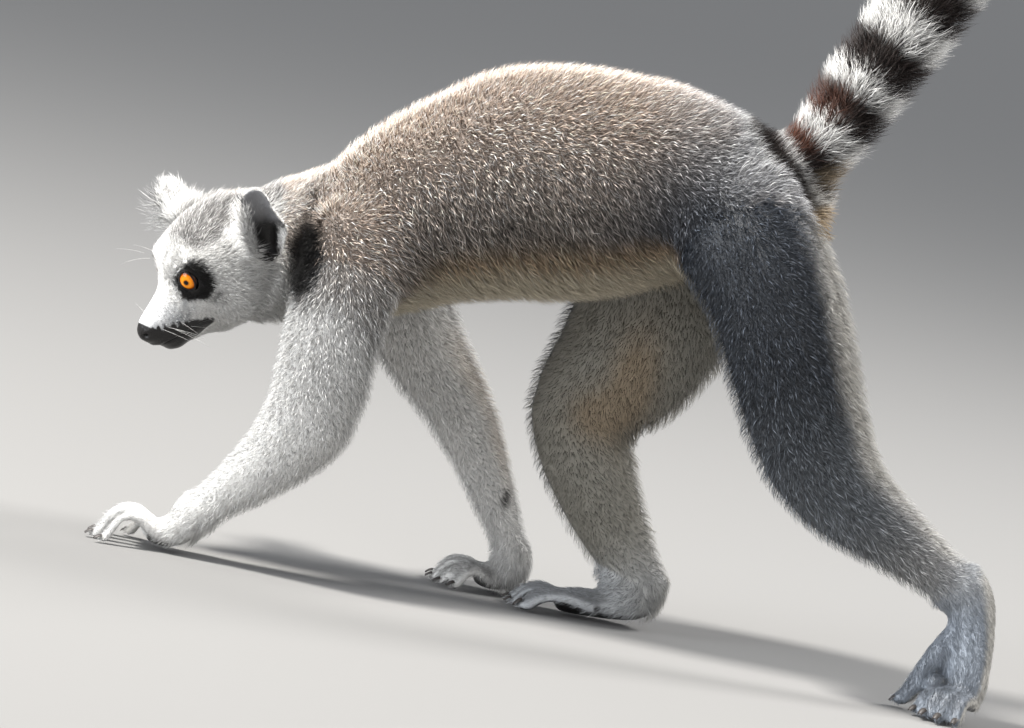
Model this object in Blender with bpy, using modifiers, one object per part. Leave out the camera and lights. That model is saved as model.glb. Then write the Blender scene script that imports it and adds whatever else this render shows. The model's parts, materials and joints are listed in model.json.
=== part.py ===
"""Ring-tailed lemur, walking, at life size: a still model in metres, +Z up, head towards -Y.

The animal stands on four feet at Z 0, its left side at +X, its head turned to that side and its
tail raised. Every outline is that of the coat's tips. The body is modelled whole, from lofts
and balls fused by a voxel remesh, and is then parted into its named nodes by thin cuts.
Lengths in the tables are millimetres in the frame of the walk, and SHIFT moves that frame so
that the origin is the middle of the footprint box.
"""

import math

import bmesh
import bpy
import numpy as np
from mathutils import Matrix, Vector

MM = 0.001
SHIFT = Vector((-2.4, -33.3, 0))

# Driving sizes
TAIL_LENGTH = 580
EYE_RADIUS = 7.5
EYE_GAP = 0.3  # between the eyeball and the head
EYE_PLACE = (14, 39.8, -6.2)  # of the left eyeball: left, forward and up on the head
EYE_LOOK = (0.6, 0.79, 0.07)
CUT_GAP = 0.9  # between neighbouring nodes
BOWL_DEPTH = 0.6  # of its radius, for the cuts that part a limb from the trunk
TRIANGLES = 9600  # of the whole body before it is cut, and thinned again
CORE_FILL = 5  # how far the hollows between trunk, neck and limbs are filled
CORE_VOXEL = 2.2
BODY_VOXEL = 1.4
DEEP = 800  # the side of the block under the floor that cuts the flats

# The head's frame: the middle between the ears, and how the head is held
HEAD_PLACE = Vector((4, -182.5, 186))
HEAD_DOWN, HEAD_TURN = 40, 31  # degrees; the turn is to the animal's left
EAR_TIPS = {1: (53, -4, 35), -1: (-59, 4, 24)}
EAR_FEET = {1: (41, 8, -16), -1: (-35, 10, -12)}
EAR_HALF_WIDTHS = {1: 13.5, -1: 16}
EAR_BOW = 3  # how far the middle of the ear bows backwards
EAR_CUTS = {1: ((41, 1, 0), 27), -1: ((-35, 0, 8), 28)}  # where each ear is parted: middle, radius
# The long hair inside and behind each ear, as ellipsoids on the head: middle, radii
EAR_HAIR = {
    1: (((39, 1, 14), (7, 9, 17)),),
    -1: (((-39, 6, 10), (9, 14, 12)), ((-30, -5, 11), (10, 11, 8.5))),
}
EAR_TAPER = 0.32  # the share of its width that the ear loses towards its tip
EAR_THICKNESS = 4.2
EAR_CUP = 7  # how far the ear's edges stand forward of its middle

# Colours of the parts
GREY = (0.33, 0.31, 0.29)
PALE = (0.80, 0.79, 0.76)
DARK = (0.04, 0.035, 0.03)
AMBER = (0.75, 0.28, 0.03)

# Every node of the body: about where its middle is, the share of its triangles kept, colour
NODES = {
    "head": ((12, -200, 159), 0.8, PALE),
    "ear_left": ((48, -170, 196), 0.7, PALE),
    "ear_right": ((-31, -217, 186), 0.7, PALE),
    "neck": ((4, -160, 175), 0.5, GREY),
    "trunk": ((0, -12, 222), 0.45, GREY),
    "upper_arm_left": ((42, -113, 145), 0.5, GREY),
    "forearm_left": ((50, -131, 69), 0.6, PALE),
    "hand_left": ((45, -198, 13), 0.85, PALE),
    "upper_arm_right": ((-50, -69, 144), 0.5, GREY),
    "forearm_right": ((-61, -11, 68), 0.6, PALE),
    "hand_right": ((-58, -7, 11), 0.85, PALE),
    "thigh_left": ((50, 132, 204), 0.5, GREY),
    "shank_left": ((55, 205, 110), 0.6, GREY),
    "foot_left": ((58, 271, 31), 0.8, PALE),
    "thigh_right": ((-41, 59, 176), 0.5, GREY),
    "shank_right": ((-42, 52, 79), 0.6, PALE),
    "foot_right": ((-33, 54, 13), 0.8, PALE),
    "tail_1": ((-7, 155, 335), 0.4, DARK),
    "tail_2": ((-14, 198, 440), 0.4, DARK),
    "tail_3": ((-15, 218, 544), 0.4, DARK),
    "tail_4": ((-12, 215, 660), 0.4, DARK),
    "tail_5": ((-5, 239, 756), 0.45, DARK),
}

# Sections of the trunk along the spine: y, z of the middle, half width, half depth
TRUNK = (
    (-146, 180, 31, 36),
    (-128, 187, 38, 42),
    (-108, 195, 46, 50),
    (-76, 218, 54, 59),
    (-46, 235, 57, 66),
    (-20, 246, 58, 71),
    (20, 255, 57, 69),
    (51, 262, 54, 62.5),
    (76, 265, 50, 55),
    (96, 266, 43, 46.5),
    (110, 263, 32, 34),
)

# Sections of the limbs from the body outwards: x, y, z, half width, half depth
ARM_LEFT = (
    (38, -106, 206, 22, 33),
    (45, -109, 175, 25, 33),
    (50, -111, 142, 24, 31),
    (52, -112, 110, 23, 30),
    (52, -116, 88, 21, 28),
    (50, -132, 63, 17, 22),
    (48, -155, 37, 13, 15),
    (46, -172, 22, 11.5, 11),
)
ARM_RIGHT = (
    (-40, -98, 206, 22, 33),
    (-48, -85, 170, 25, 33),
    (-56, -62, 135, 24, 29),
    (-62, -38, 108, 20, 25),
    (-63, -20, 84, 17, 20),
    (-62, -4, 58, 15, 16.5),
    (-60, 8, 38, 12.5, 13.5),
    (-59, 17, 22, 11, 11.5),
)
LEG_LEFT = (
    (30, 92, 262, 26, 44),
    (42, 112, 238, 31, 44),
    (52, 130, 215, 32, 42),
    (58, 147, 180, 31, 41),
    (60, 165, 144, 27, 38),
    (58, 183, 121, 24, 33),
    (55, 204, 106, 21, 28),
    (52, 227, 94, 18, 23),
    (48, 250, 82, 15, 19),
    (45, 268, 73, 13, 16),
)
LEG_RIGHT = (
    (-30, 88, 252, 28, 46),
    (-41, 80, 217, 32, 50),
    (-46, 68, 182, 33, 52),
    (-48, 54, 150, 31, 48),
    (-46, 39, 124, 25, 38),
    (-44, 43, 99, 22, 33),
    (-41, 55, 76, 20, 29),
    (-39, 70, 54, 17, 25),
    (-37, 87, 33, 14, 20),
)

# Sections of the palms and soles, from the wrist or heel to the roots of the digits
PALM_LEFT = (
    (46, -165, 30, 11.5, 12),
    (46, -172, 18, 11.5, 11),
    (46, -180, 11, 12.5, 9.5),
    (46, -189, 9.5, 13, 7.5),
)
PALM_RIGHT = (
    (-59, 14, 30, 11, 12),
    (-59, 16, 17, 11.5, 10.5),
    (-59, 9, 11, 12.5, 9.5),
    (-60, 0, 9.5, 13, 7.5),
)
SOLE_LEFT = (
    (45, 266, 78, 13, 16),
    (45, 276, 68, 13.5, 15),
    (47, 281, 50, 14, 12.5),
    (51, 283, 30, 14, 11),
    (56, 282, 14, 14, 9),
)
SOLE_RIGHT = (
    (-37, 93, 30, 13, 17),
    (-37, 92, 17, 12.5, 13),
    (-37, 76, 11, 12.5, 9.5),
    (-36, 58, 9, 14, 8.5),
    (-35, 49, 8, 14, 7.5),
)
ROOT_SPREAD = 14  # half the width over which the digits are rooted

# A hand's or foot's digits from its outer edge inwards: place across, turn, length, girth, rise
DIGITS = (
    (0.74, 20, 31, 3.6, 8),
    (0.26, 6, 35, 3.9, 10),
    (-0.24, -7, 34, 3.9, 10),
    (-0.72, -20, 29, 3.6, 8),
)

# Sections of the head in its own frame: forward, up, half width, half height
HEAD = (
    (-24, -18, 26, 29),
    (-13, -20, 35, 39),
    (0, -19, 38, 41.5),
    (14, -16.5, 37, 39.5),
    (26, -14.5, 33, 35.5),
    (36, -15, 27.5, 31),
    (44, -21, 20.5, 25),
    (51, -25.5, 16, 20),
    (59, -27, 13.5, 17),
    (67, -27, 11, 13.5),
    (74, -25.5, 7.6, 8.4),
)

# Where the tail's course points, in degrees above the horizontal, along its length
TAIL_ROOT = (0, 104, 272)
ROOT_TUFT = ((-2, 137, 266), (18, 27, 27))  # the long hair under the tail's root: middle, radii
TAIL_COURSE = (
    (0, 36),
    (35, 46),
    (62, 68),
    (110, 65),
    (160, 66),
    (220, 74),
    (290, 88),
    (360, 96),
    (430, 92),
    (490, 72),
    (540, 46),
    (580, 24),
)
TAIL_SWAY = 16  # how far the tail leans to the right at its middle
TAIL_STEP = 10  # between the sections of the tail
TAIL_CUTS = {140: 45, 250: 45, 360: 45, 470: 45}  # distance: the cut's radius
# How thick the tail is along its length: distance, radius
TAIL_GIRTH = ((0, 22), (40, 25), (80, 28), (140, 30.5), (440, 30), (540, 25), (580, 17))


# Flat cuts at the neck, the tail's root and the limbs' joints: middle, normal, radius
JOINT_CUTS = (
    ((-3, 136, 282), (0, 0.74, 0.67), 46),
    ((3, -162, 178), (0.3, -0.95, 0.1), 62),
    ((0, -150, 184), (0.15, -0.965, 0.22), 60),
    ((52, -113, 97), (0, -0.3, -0.95), 37),
    ((47, -164, 29), (-0.05, -0.62, -0.78), 19),
    ((-62, -30, 97), (0, 0.6, -0.8), 31),
    ((-59, 13, 29), (0, 0.4, -0.9), 17),
    ((59, 168, 139), (0, 0.62, -0.78), 48),
    ((46, 263, 77), (-0.1, 0.86, -0.5), 24),
    ((-46, 45, 112), (0, -0.22, -0.97), 56),
    ((-37, 88, 33), (0, 0.3, -0.95), 26),
)
# Domed cuts where the limbs leave the trunk: middle, the way towards the limb, radius
BODY_CUTS = (
    ((46, -110, 150), (0.6, 0, -0.8), 48),
    ((-49, -78, 152), (-0.6, 0.1, -0.8), 48),
    ((52, 125, 225), (0.75, 0.15, -0.65), 60),
    ((-46, 72, 190), (-0.75, -0.1, -0.65), 72),
)


def head_axes():
    """Columns: the head's left, back and up, so that a head point is (left, -forward, up)."""
    down = Matrix.Rotation(math.radians(HEAD_DOWN), 3, "X")
    turn = Matrix.Rotation(math.radians(HEAD_TURN), 3, "Z")
    return turn @ down


HEAD_AXES = head_axes()


def on_head(left, forward, up):
    """A point of the head's own frame, in the frame of the walk."""
    return HEAD_PLACE + HEAD_AXES @ Vector((left, -forward, up))


def head_direction(left, forward, up):
    return (HEAD_AXES @ Vector((left, -forward, up))).normalized()


def smooth_rows(rows, count):
    """Rows of numbers blended through by a Catmull-Rom spline, count between each pair."""
    rows = np.asarray(rows, float)
    padded = np.vstack([2 * rows[0] - rows[1], rows, 2 * rows[-1] - rows[-2]])
    found = []
    for i in range(len(rows) - 1):
        a, b, c, d = padded[i : i + 4]
        for t in np.arange(count) / count:
            found.append(
                0.5
                * (
                    2 * b
                    + (c - a) * t
                    + (2 * a - 5 * b + 4 * c - d) * t**2
                    + (3 * b - a - 3 * c + d) * t**3
                )
            )
    return np.vstack([found, rows[-1]])


def new_object(name, mesh, material=None):
    obj = bpy.data.objects.new(name, mesh)
    bpy.context.scene.collection.objects.link(obj)
    if material:
        mesh.materials.append(material)
    return obj


def loft(rows, across=(1, 0, 0), steps=4, sides=20, round_ends=(0.7, 0.7), facing=None):
    """A closed tube through rows of x, y, z, half width, half depth, with domed ends.

    The width lies along the across direction, squared to the tube's course. The sections are
    square to that course too, or all of them to facing.
    """
    rows = smooth_rows(rows, steps)
    middles = rows[:, :3]
    course = np.gradient(middles, axis=0) if facing is None else np.tile(facing, (len(rows), 1))
    course /= np.linalg.norm(course, axis=1)[:, None]
    rings = []
    dome = (0.98, 0.78, 0.42)
    for end, share in ((0, round_ends[0]), (-1, round_ends[1])):
        reach = share * rows[end, 3:5].min() * (1 if end else -1)
        domed = [
            (middles[end] + course[end] * reach * rise, course[end], rows[end, 3:5] * width)
            for width, rise in zip((0.9, 0.66, 0.3), dome[::-1])
        ]
        rings.append(domed)
    body = [(m, c, r) for m, c, r in zip(middles, course, rows[:, 3:5])]
    rings = rings[0][::-1] + body + rings[1]
    bm = bmesh.new()
    loops = []
    for middle, along, (width, depth) in rings:
        side = np.asarray(across, float)
        side = side - along * (side @ along)
        side /= np.linalg.norm(side)
        up = np.cross(along, side)
        turns = np.arange(sides) * 2 * math.pi / sides
        ring = [
            bm.verts.new(middle + side * width * math.cos(t) + up * depth * math.sin(t))
            for t in turns
        ]
        loops.append(ring)
    for low, high in zip(loops, loops[1:]):
        for i in range(sides):
            j = (i + 1) % sides
            bm.faces.new((low[i], low[j], high[j], high[i]))
    bm.faces.new(loops[0][::-1])
    bm.faces.new(loops[-1])
    bmesh.ops.recalc_face_normals(bm, faces=bm.faces)
    mesh = bpy.data.meshes.new("loft")
    bm.to_mesh(mesh)
    bm.free()
    return new_object("loft", mesh)


def ball(middle, radii, axes=None, segments=16):
    """An ellipsoid with its radii along the columns of axes."""
    bpy.ops.mesh.primitive_uv_sphere_add(segments=segments, ring_count=segments // 2)
    obj = bpy.context.object
    frame = (axes or Matrix.Identity(3)).to_4x4()
    obj.data.transform(Matrix.Translation(middle) @ frame @ Matrix.Diagonal((*radii, 1)))
    return obj


def head_ball(left, forward, up, radii):
    """An ellipsoid on the head: radii are sideways, forward and up."""
    return ball(on_head(left, forward, up), radii, HEAD_AXES)


def join(objects, name):
    """One mesh object of several, which are removed."""
    bm = bmesh.new()
    for obj in objects:
        bm.from_mesh(obj.data)
        bpy.data.objects.remove(obj)
    mesh = bpy.data.meshes.new(name)
    bm.to_mesh(mesh)
    bm.free()
    return new_object(name, mesh)


def bake(obj):
    """Applies obj's modifiers."""
    graph = bpy.context.evaluated_depsgraph_get()
    mesh = bpy.data.meshes.new_from_object(obj.evaluated_get(graph))
    obj.modifiers.clear()
    obj.data = mesh
    return obj


def remesh(obj, size):
    modifier = obj.modifiers.new("remesh", "REMESH")
    modifier.mode = "VOXEL"
    modifier.voxel_size = size
    return bake(obj)


def smooth(obj, passes):
    modifier = obj.modifiers.new("smooth", "SMOOTH")
    modifier.iterations = passes
    return bake(obj)


def swell(obj, amount):
    modifier = obj.modifiers.new("swell", "DISPLACE")
    modifier.mid_level = 0
    modifier.strength = amount
    return bake(obj)


def boolean(obj, other, operation):
    """Cuts or joins the other object, which is then removed."""
    modifier = obj.modifiers.new("boolean", "BOOLEAN")
    modifier.operation = operation
    modifier.object = other
    bake(obj)
    bpy.data.objects.remove(other)
    return obj


def digit(base, heading, length, thick, rise):
    """A finger or toe: it rises from the palm to its knuckle and comes down on its pad."""
    base, heading = Vector(base), Vector(heading).normalized()
    tip = thick * 0.75 - base.z
    course = ((0, 0), (0.36, rise), (0.68, rise * 0.66), (0.9, tip), (1, tip))
    girth = (1.15, 1.02, 0.92, 1, 0.7)
    rows = []
    for (share, up), size in zip(course, girth):
        spot = base + heading * length * share + Vector((0, 0, up))
        rows.append((*spot, thick * size, thick * size * 0.95))
    return loft(rows, heading.cross(Vector((0, 0, 1))), steps=3, sides=12)


def digits(front, heading, side, outer, scale=1.0, lift=1.0, fan=1.0, girth=1.0):
    """The four digits of a hand or foot; outer is 1 where its outer edge is at +side."""
    heading = Vector(heading).normalized()
    found = []
    for place, turn, length, thick, rise in DIGITS:
        aim = Matrix.Rotation(math.radians(turn * outer * fan), 3, "Z") @ heading
        base = Vector(front) + Vector(side) * place * outer * ROOT_SPREAD
        found.append(digit(base, aim, length * scale, thick * girth, rise * lift))
    return found


def left_hand():
    thumb = digit((35, -184, 8), (-0.5, -0.86, 0), 25, 4.1, 5)
    return digits((46, -189, 10), (0.1, -1, 0), (1, 0, 0), 1) + [thumb]


def right_hand():
    thumb = digit((-48, 5, 8), (0.5, -0.86, 0), 24, 4.1, 5)
    front, ahead = (-60, 0, 10), (-0.1, -1, 0)
    return digits(front, ahead, (1, 0, 0), -1, scale=0.86, lift=0.5) + [thumb]


def right_foot():
    """Flat on its sole, the heel's back a little raised."""
    toe = digit((-25, 67, 9), (0.3, -0.95, 0), 44, 5.4, 3)
    front, ahead = (-35, 49, 8), (0.1, -1, 0)
    return digits(front, ahead, (1, 0, 0), -1, scale=0.9, lift=0.55, fan=0.8) + [toe]


def left_foot():
    """On its toes, turned out, the heel high and the big toe reaching forwards."""
    big_toe = (
        (46, 272, 48, 8.5, 7.5),
        (47, 264, 34, 7.8, 7.2),
        (48, 257, 18, 7, 6.8),
        (50, 252, 8, 6.6, 6),
        (51, 246, 4.5, 5.4, 4.5),
    )
    out, side = (0.82, -0.57, 0), (0.57, 0.82, 0)
    toes = digits((57, 281, 11), out, side, 1, scale=0.82, lift=0.5, fan=0.5, girth=1.2)
    return toes + [loft(big_toe, steps=3, sides=12)]


def ear(side):
    """A cupped leaf that stands up from the side of the crown, with long hair before it."""
    tip, foot = on_head(*EAR_TIPS[side]), on_head(*EAR_FEET[side])
    upright = (tip - foot).normalized()
    face = head_direction(0.8 * side, 0.6, 0)
    face = (face - upright * face.dot(upright)).normalized()
    across = upright.cross(face)
    middle, half = (tip + foot) / 2, (tip - foot).length / 2
    bpy.ops.mesh.primitive_uv_sphere_add(segments=32, ring_count=20)
    leaf = bpy.context.object
    for vertex in leaf.data.vertices:
        wide, thick, tall = vertex.co
        spread = EAR_HALF_WIDTHS[side] * wide * (1 - EAR_TAPER * tall)
        spread += EAR_BOW * side * (1 - tall**2)
        cup = EAR_THICKNESS * thick + EAR_CUP * (wide**2 - 0.35)
        vertex.co = middle + across * spread + upright * half * tall + face * cup
    leaf.data.update()
    return [leaf] + [head_ball(*place, radii) for place, radii in EAR_HAIR[side]]


def tail_rows():
    """Sections of the tail, found by walking along its course."""
    spot = Vector(TAIL_ROOT)
    where, angles = zip(*TAIL_COURSE)
    marks, radii = zip(*TAIL_GIRTH)
    rows = []
    for walked in range(0, TAIL_LENGTH + 1, TAIL_STEP):
        radius = np.interp(walked, marks, radii)
        lean = -TAIL_SWAY * math.sin(math.pi * walked / TAIL_LENGTH)
        rows.append((spot.x + lean, spot.y, spot.z, radius, radius))
        angle = math.radians(np.interp(walked, where, angles))
        spot += Vector((0, math.cos(angle), math.sin(angle))) * TAIL_STEP
    return rows


def soft_core():
    """Head, neck, trunk and the limbs' upper ends, with the hollows between them filled."""
    trunk = [(0, *row) for row in TRUNK]
    neck = [
        (*on_head(0, -8, -14), 31, 36),
        (1, -164, 173, 30, 41),
        (-2, -143, 180, 32, 44),
        (0, -122, 189, 39, 47),
    ]
    skull = [(*on_head(0, f, u), w, h) for f, u, w, h in HEAD]
    left, ahead = tuple(HEAD_AXES.col[0]), tuple(head_direction(0, 1, 0))
    parts = [loft(trunk, sides=36), loft(neck), loft(skull, left, sides=28, facing=ahead)]
    for side in (1, -1):
        parts.append(head_ball(16 * side, 34, -1, (13, 14, 12)))  # brow
        parts.append(head_ball(15 * side, 35, -9, (12.5, 13, 13)))  # orbit
        parts.append(head_ball(20 * side, 14, -27, (19, 26, 25)))  # cheek
        parts.append(head_ball(22 * side, -1, -20, (18, 20, 27)))  # ruff
    parts.append(head_ball(0, 20, -33, (20, 27, 23)))  # throat
    for limb in (ARM_LEFT, ARM_RIGHT, LEG_LEFT, LEG_RIGHT):
        parts.append(loft(limb[:4]))
    core = join(parts, "core")
    swell(core, CORE_FILL)
    remesh(core, CORE_VOXEL)
    smooth(core, 6)
    swell(core, -CORE_FILL)
    return smooth(core, 4)


def whole_body():
    """The closed outline of the animal, without its eyes."""
    parts = [soft_core(), loft(tail_rows(), steps=2, sides=24), ball(*ROOT_TUFT)]
    for limb in (ARM_LEFT, ARM_RIGHT, LEG_LEFT, LEG_RIGHT):
        parts.append(loft(limb, sides=28))
    for palm in (PALM_LEFT, PALM_RIGHT, SOLE_RIGHT):
        parts.append(loft(palm, sides=24))
    parts.append(loft(SOLE_LEFT, (0.7, 0.7, 0), sides=24))
    for group in (ear(1), ear(-1), left_hand(), right_hand(), left_foot(), right_foot()):
        parts += group
    nose = head_ball(0, 72.5, -25.5, (7.4, 7.5, 7.4))
    chin = head_ball(0, 59, -37.5, (9, 11, 8))
    body = join(parts + [nose, chin], "body")
    remesh(body, BODY_VOXEL)
    return smooth(body, 4)


def decimate(body):
    """Down to TRIANGLES, which are spared on the head, hands and feet."""
    group = body.vertex_groups.new(name="plain")
    head = on_head(0, 40, -15)
    fine = [(head, 52), (Vector((46, -195, 5)), 40), (Vector((-56, -10, 5)), 40)]
    fine += [(Vector((52, 268, 12)), 45), (Vector((-44, 50, 8)), 45)]
    for vertex in body.data.vertices:
        near = min((vertex.co - spot).length / reach for spot, reach in fine)
        group.add([vertex.index], min(1, max(0.82, near)), "REPLACE")
    modifier = body.modifiers.new("decimate", "DECIMATE")
    modifier.ratio = TRIANGLES / (2 * len(body.data.polygons))
    modifier.vertex_group = "plain"
    modifier.use_collapse_triangulate = True
    bake(body)
    body.vertex_groups.clear()
    return body


def disc(middle, normal, radius):
    """A thin round cut across a limb."""
    bpy.ops.mesh.primitive_cylinder_add(vertices=20, radius=radius, depth=CUT_GAP)
    obj = bpy.context.object
    turn = Vector(normal).to_track_quat("Z", "Y").to_matrix().to_4x4()
    obj.data.transform(Matrix.Translation(middle) @ turn)
    return obj


def bowl(middle, opening, radius):
    """A thin shallow dome that cuts a limb out of the trunk; it opens towards the limb."""
    bpy.ops.mesh.primitive_uv_sphere_add(segments=16, ring_count=8, radius=radius)
    obj = bpy.context.object
    bm = bmesh.new()
    bm.from_mesh(obj.data)
    everything = bm.verts[:] + bm.edges[:] + bm.faces[:]
    bmesh.ops.bisect_plane(
        bm, geom=everything, dist=0.001, plane_co=(0, 0, 0), plane_no=(0, 0, 1), clear_outer=True
    )
    bmesh.ops.scale(bm, vec=(1, 1, BOWL_DEPTH), verts=bm.verts)
    bm.to_mesh(obj.data)
    bm.free()
    shell = obj.modifiers.new("shell", "SOLIDIFY")
    shell.thickness = CUT_GAP
    bake(obj)
    turn = Vector(opening).to_track_quat("Z", "Y").to_matrix().to_4x4()
    obj.data.transform(Matrix.Translation(middle) @ turn)
    return obj


def tail_cuts(rows):
    middles = [Vector(row[:3]) for row in rows]
    found = []
    for walked, radius in TAIL_CUTS.items():
        i = walked // TAIL_STEP
        along = (middles[i + 1] - middles[i - 1]).normalized()
        found.append(disc(middles[i], along, radius))
    return found


def ear_cut(side):
    middle, radius = EAR_CUTS[side]
    return disc(on_head(*middle), head_direction(0.8 * side, -0.1, 0.6), radius)


def cutters():
    """All the cuts but those of the ears."""
    cuts = tail_cuts(tail_rows())
    cuts += [disc(*cut) for cut in JOINT_CUTS]
    cuts += [bowl(*cut) for cut in BODY_CUTS]
    return cuts


def stand_flat(obj):
    """Cuts a hand or foot level with the floor, which leaves its small flats."""
    bpy.ops.mesh.primitive_cube_add(size=1)
    below = bpy.context.object
    low = Matrix.Translation((0, 0, -DEEP / 2))
    below.data.transform(low @ Matrix.Scale(DEEP, 4))
    return boolean(obj, below, "DIFFERENCE")


def eye(side, radius):
    """An eyeball; its front stands just out of the lids."""
    return ball(on_head(EYE_PLACE[0] * side, *EYE_PLACE[1:]), (radius, radius, radius))


def socket(side):
    """The eyeball's room and the shallow dish of the lids before it."""
    room = eye(side, EYE_RADIUS + EYE_GAP)
    look = head_direction(EYE_LOOK[0] * side, *EYE_LOOK[1:])
    middle = on_head(EYE_PLACE[0] * side, *EYE_PLACE[1:]) + look * 11
    lids = ball(middle, (EYE_RADIUS, EYE_RADIUS, EYE_RADIUS))
    return boolean(room, lids, "UNION")


def loose_parts(obj):
    """Splits a mesh into its connected pieces, each an object of its own."""
    bpy.ops.object.select_all(action="DESELECT")
    obj.select_set(True)
    bpy.context.view_layer.objects.active = obj
    bpy.ops.object.mode_set(mode="EDIT")
    bpy.ops.mesh.separate(type="LOOSE")
    bpy.ops.object.mode_set(mode="OBJECT")
    return list(bpy.context.selected_objects)


def principled(name, colour, roughness):
    material = bpy.data.materials.new(name)
    material.use_nodes = True
    shader = material.node_tree.nodes["Principled BSDF"]
    shader.inputs["Base Color"].default_value = (*colour, 1)
    shader.inputs["Roughness"].default_value = roughness
    return material


def thin_out(obj, share):
    """Keeps that share of a node's triangles."""
    modifier = obj.modifiers.new("thin", "DECIMATE")
    modifier.ratio = share
    modifier.use_collapse_triangulate = True
    return bake(obj)


def finish(obj, name, colour, roughness, collection):
    """Names a node, gives it its material and brings it to metres and to its place."""
    obj.name = obj.data.name = name
    obj.data.materials.clear()
    obj.data.materials.append(principled(name + "_finish", colour, roughness))
    obj.data.transform(Matrix.Translation(SHIFT * MM) @ Matrix.Scale(MM, 4))
    for other in list(obj.users_collection):
        other.objects.unlink(obj)
    collection.objects.link(obj)


def middle_of(obj):
    return sum((vertex.co for vertex in obj.data.vertices), Vector()) / len(obj.data.vertices)


def build():
    for obj in list(bpy.data.objects):
        bpy.data.objects.remove(obj)
    lemur = bpy.data.collections.new("ring_tailed_lemur")
    bpy.context.scene.collection.children.link(lemur)
    whole = decimate(whole_body())
    for side in (1, -1):
        boolean(whole, ear_cut(side), "DIFFERENCE")
    pieces = sorted(loose_parts(whole), key=lambda obj: len(obj.data.vertices))
    body = pieces.pop()
    for cut in cutters():
        boolean(body, cut, "DIFFERENCE")
    for side in (1, -1):
        boolean(body, socket(side), "DIFFERENCE")
    pieces += loose_parts(body)
    for name, (place, share, colour) in NODES.items():
        piece = min(pieces, key=lambda obj: (middle_of(obj) - Vector(place)).length)
        pieces.remove(piece)
        thin_out(piece, share)
        if name.startswith(("hand", "foot")):
            stand_flat(piece)
        finish(piece, name, colour, 0.9, lemur)
    for offcut in pieces:
        bpy.data.objects.remove(offcut)
    for name, side in (("eye_left", 1), ("eye_right", -1)):
        finish(eye(side, EYE_RADIUS), name, AMBER, 0.1, lemur)


build()
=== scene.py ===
"""Ring-tailed lemur: the looks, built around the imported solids.

One skin is grown from the solids of flesh, drawn in by the coat's depth and then sculpted at the
face. The coat is made of thin solid tufts rooted on that skin. A paint function gives both the
skin and the coat their markings. Lengths are millimetres in the frame of the walk (x to the
animal's left, y backwards, z up) until a piece is finished, which brings it to metres.
"""

import json
import math
from types import SimpleNamespace

import bmesh
import bpy
import numpy as np
from mathutils import Matrix, Vector
from mathutils.bvhtree import BVHTree

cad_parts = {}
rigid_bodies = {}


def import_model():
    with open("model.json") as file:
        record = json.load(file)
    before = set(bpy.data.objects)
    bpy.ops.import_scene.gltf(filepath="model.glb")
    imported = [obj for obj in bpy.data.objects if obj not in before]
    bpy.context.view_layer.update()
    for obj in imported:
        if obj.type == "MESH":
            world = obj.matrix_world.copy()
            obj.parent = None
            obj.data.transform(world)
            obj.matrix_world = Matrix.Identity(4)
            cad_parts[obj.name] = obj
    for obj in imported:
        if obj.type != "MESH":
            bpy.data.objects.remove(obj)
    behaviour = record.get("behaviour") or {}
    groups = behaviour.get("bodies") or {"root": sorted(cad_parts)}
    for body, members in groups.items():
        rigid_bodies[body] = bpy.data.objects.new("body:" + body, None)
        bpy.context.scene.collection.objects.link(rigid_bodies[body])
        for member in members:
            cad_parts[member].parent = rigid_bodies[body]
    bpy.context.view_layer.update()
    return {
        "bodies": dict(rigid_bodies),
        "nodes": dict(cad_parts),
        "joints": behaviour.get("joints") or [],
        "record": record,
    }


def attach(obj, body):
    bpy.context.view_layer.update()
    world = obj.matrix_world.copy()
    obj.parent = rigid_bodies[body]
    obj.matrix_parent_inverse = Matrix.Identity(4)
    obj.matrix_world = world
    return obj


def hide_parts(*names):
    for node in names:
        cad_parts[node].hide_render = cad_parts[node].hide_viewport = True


MM = 0.001
SHIFT = np.array((-2.4, -33.3, 0))  # from the frame of the walk to the frame of the solids
SEED, MOTTLE_SEED = 11, 5
SIDES = (("left", 1), ("right", -1))

# The head's own frame, as in the solids: (left, forward, up)
HEAD_PLACE = np.array((4, -182.5, 186))
HEAD_DOWN, HEAD_TURN = 40, 31
EYE_RADIUS = 7.5
EYE_PLACE = (14, 39.8, -6.2)
EYE_LOOK = (0.6, 0.79, 0.07)
EAR_TIPS = {1: (51.5, -4, 33.5), -1: (-57.5, 4, 22.5)}
EAR_FEET = {1: (40.5, 8, -14), -1: (-35, 10, -11)}
EAR_HALF_WIDTHS = {1: 12.5, -1: 16}
# The outline of an ear from its foot (-1) to its tip (1): width and how far it bows backwards
EAR_HEIGHTS = (-1, -0.7, -0.4, 0, 0.2, 0.4, 0.6, 0.86, 1)
EAR_SHARES = (0.6, 0.8, 0.87, 1, 1.02, 0.95, 0.84, 1.04, 1.3)
EAR_BOWS = (3.5, 4.3, 4.8, 4.8, 4.2, 3, 1.7, 0.5, 0)
EAR_BASES = {1: (25.5, 1.5, -5), -1: (-25, 4, -2)}  # the mounds of gristle behind the ears
EAR_BASE_RADII = (9, 9, 15)

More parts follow.
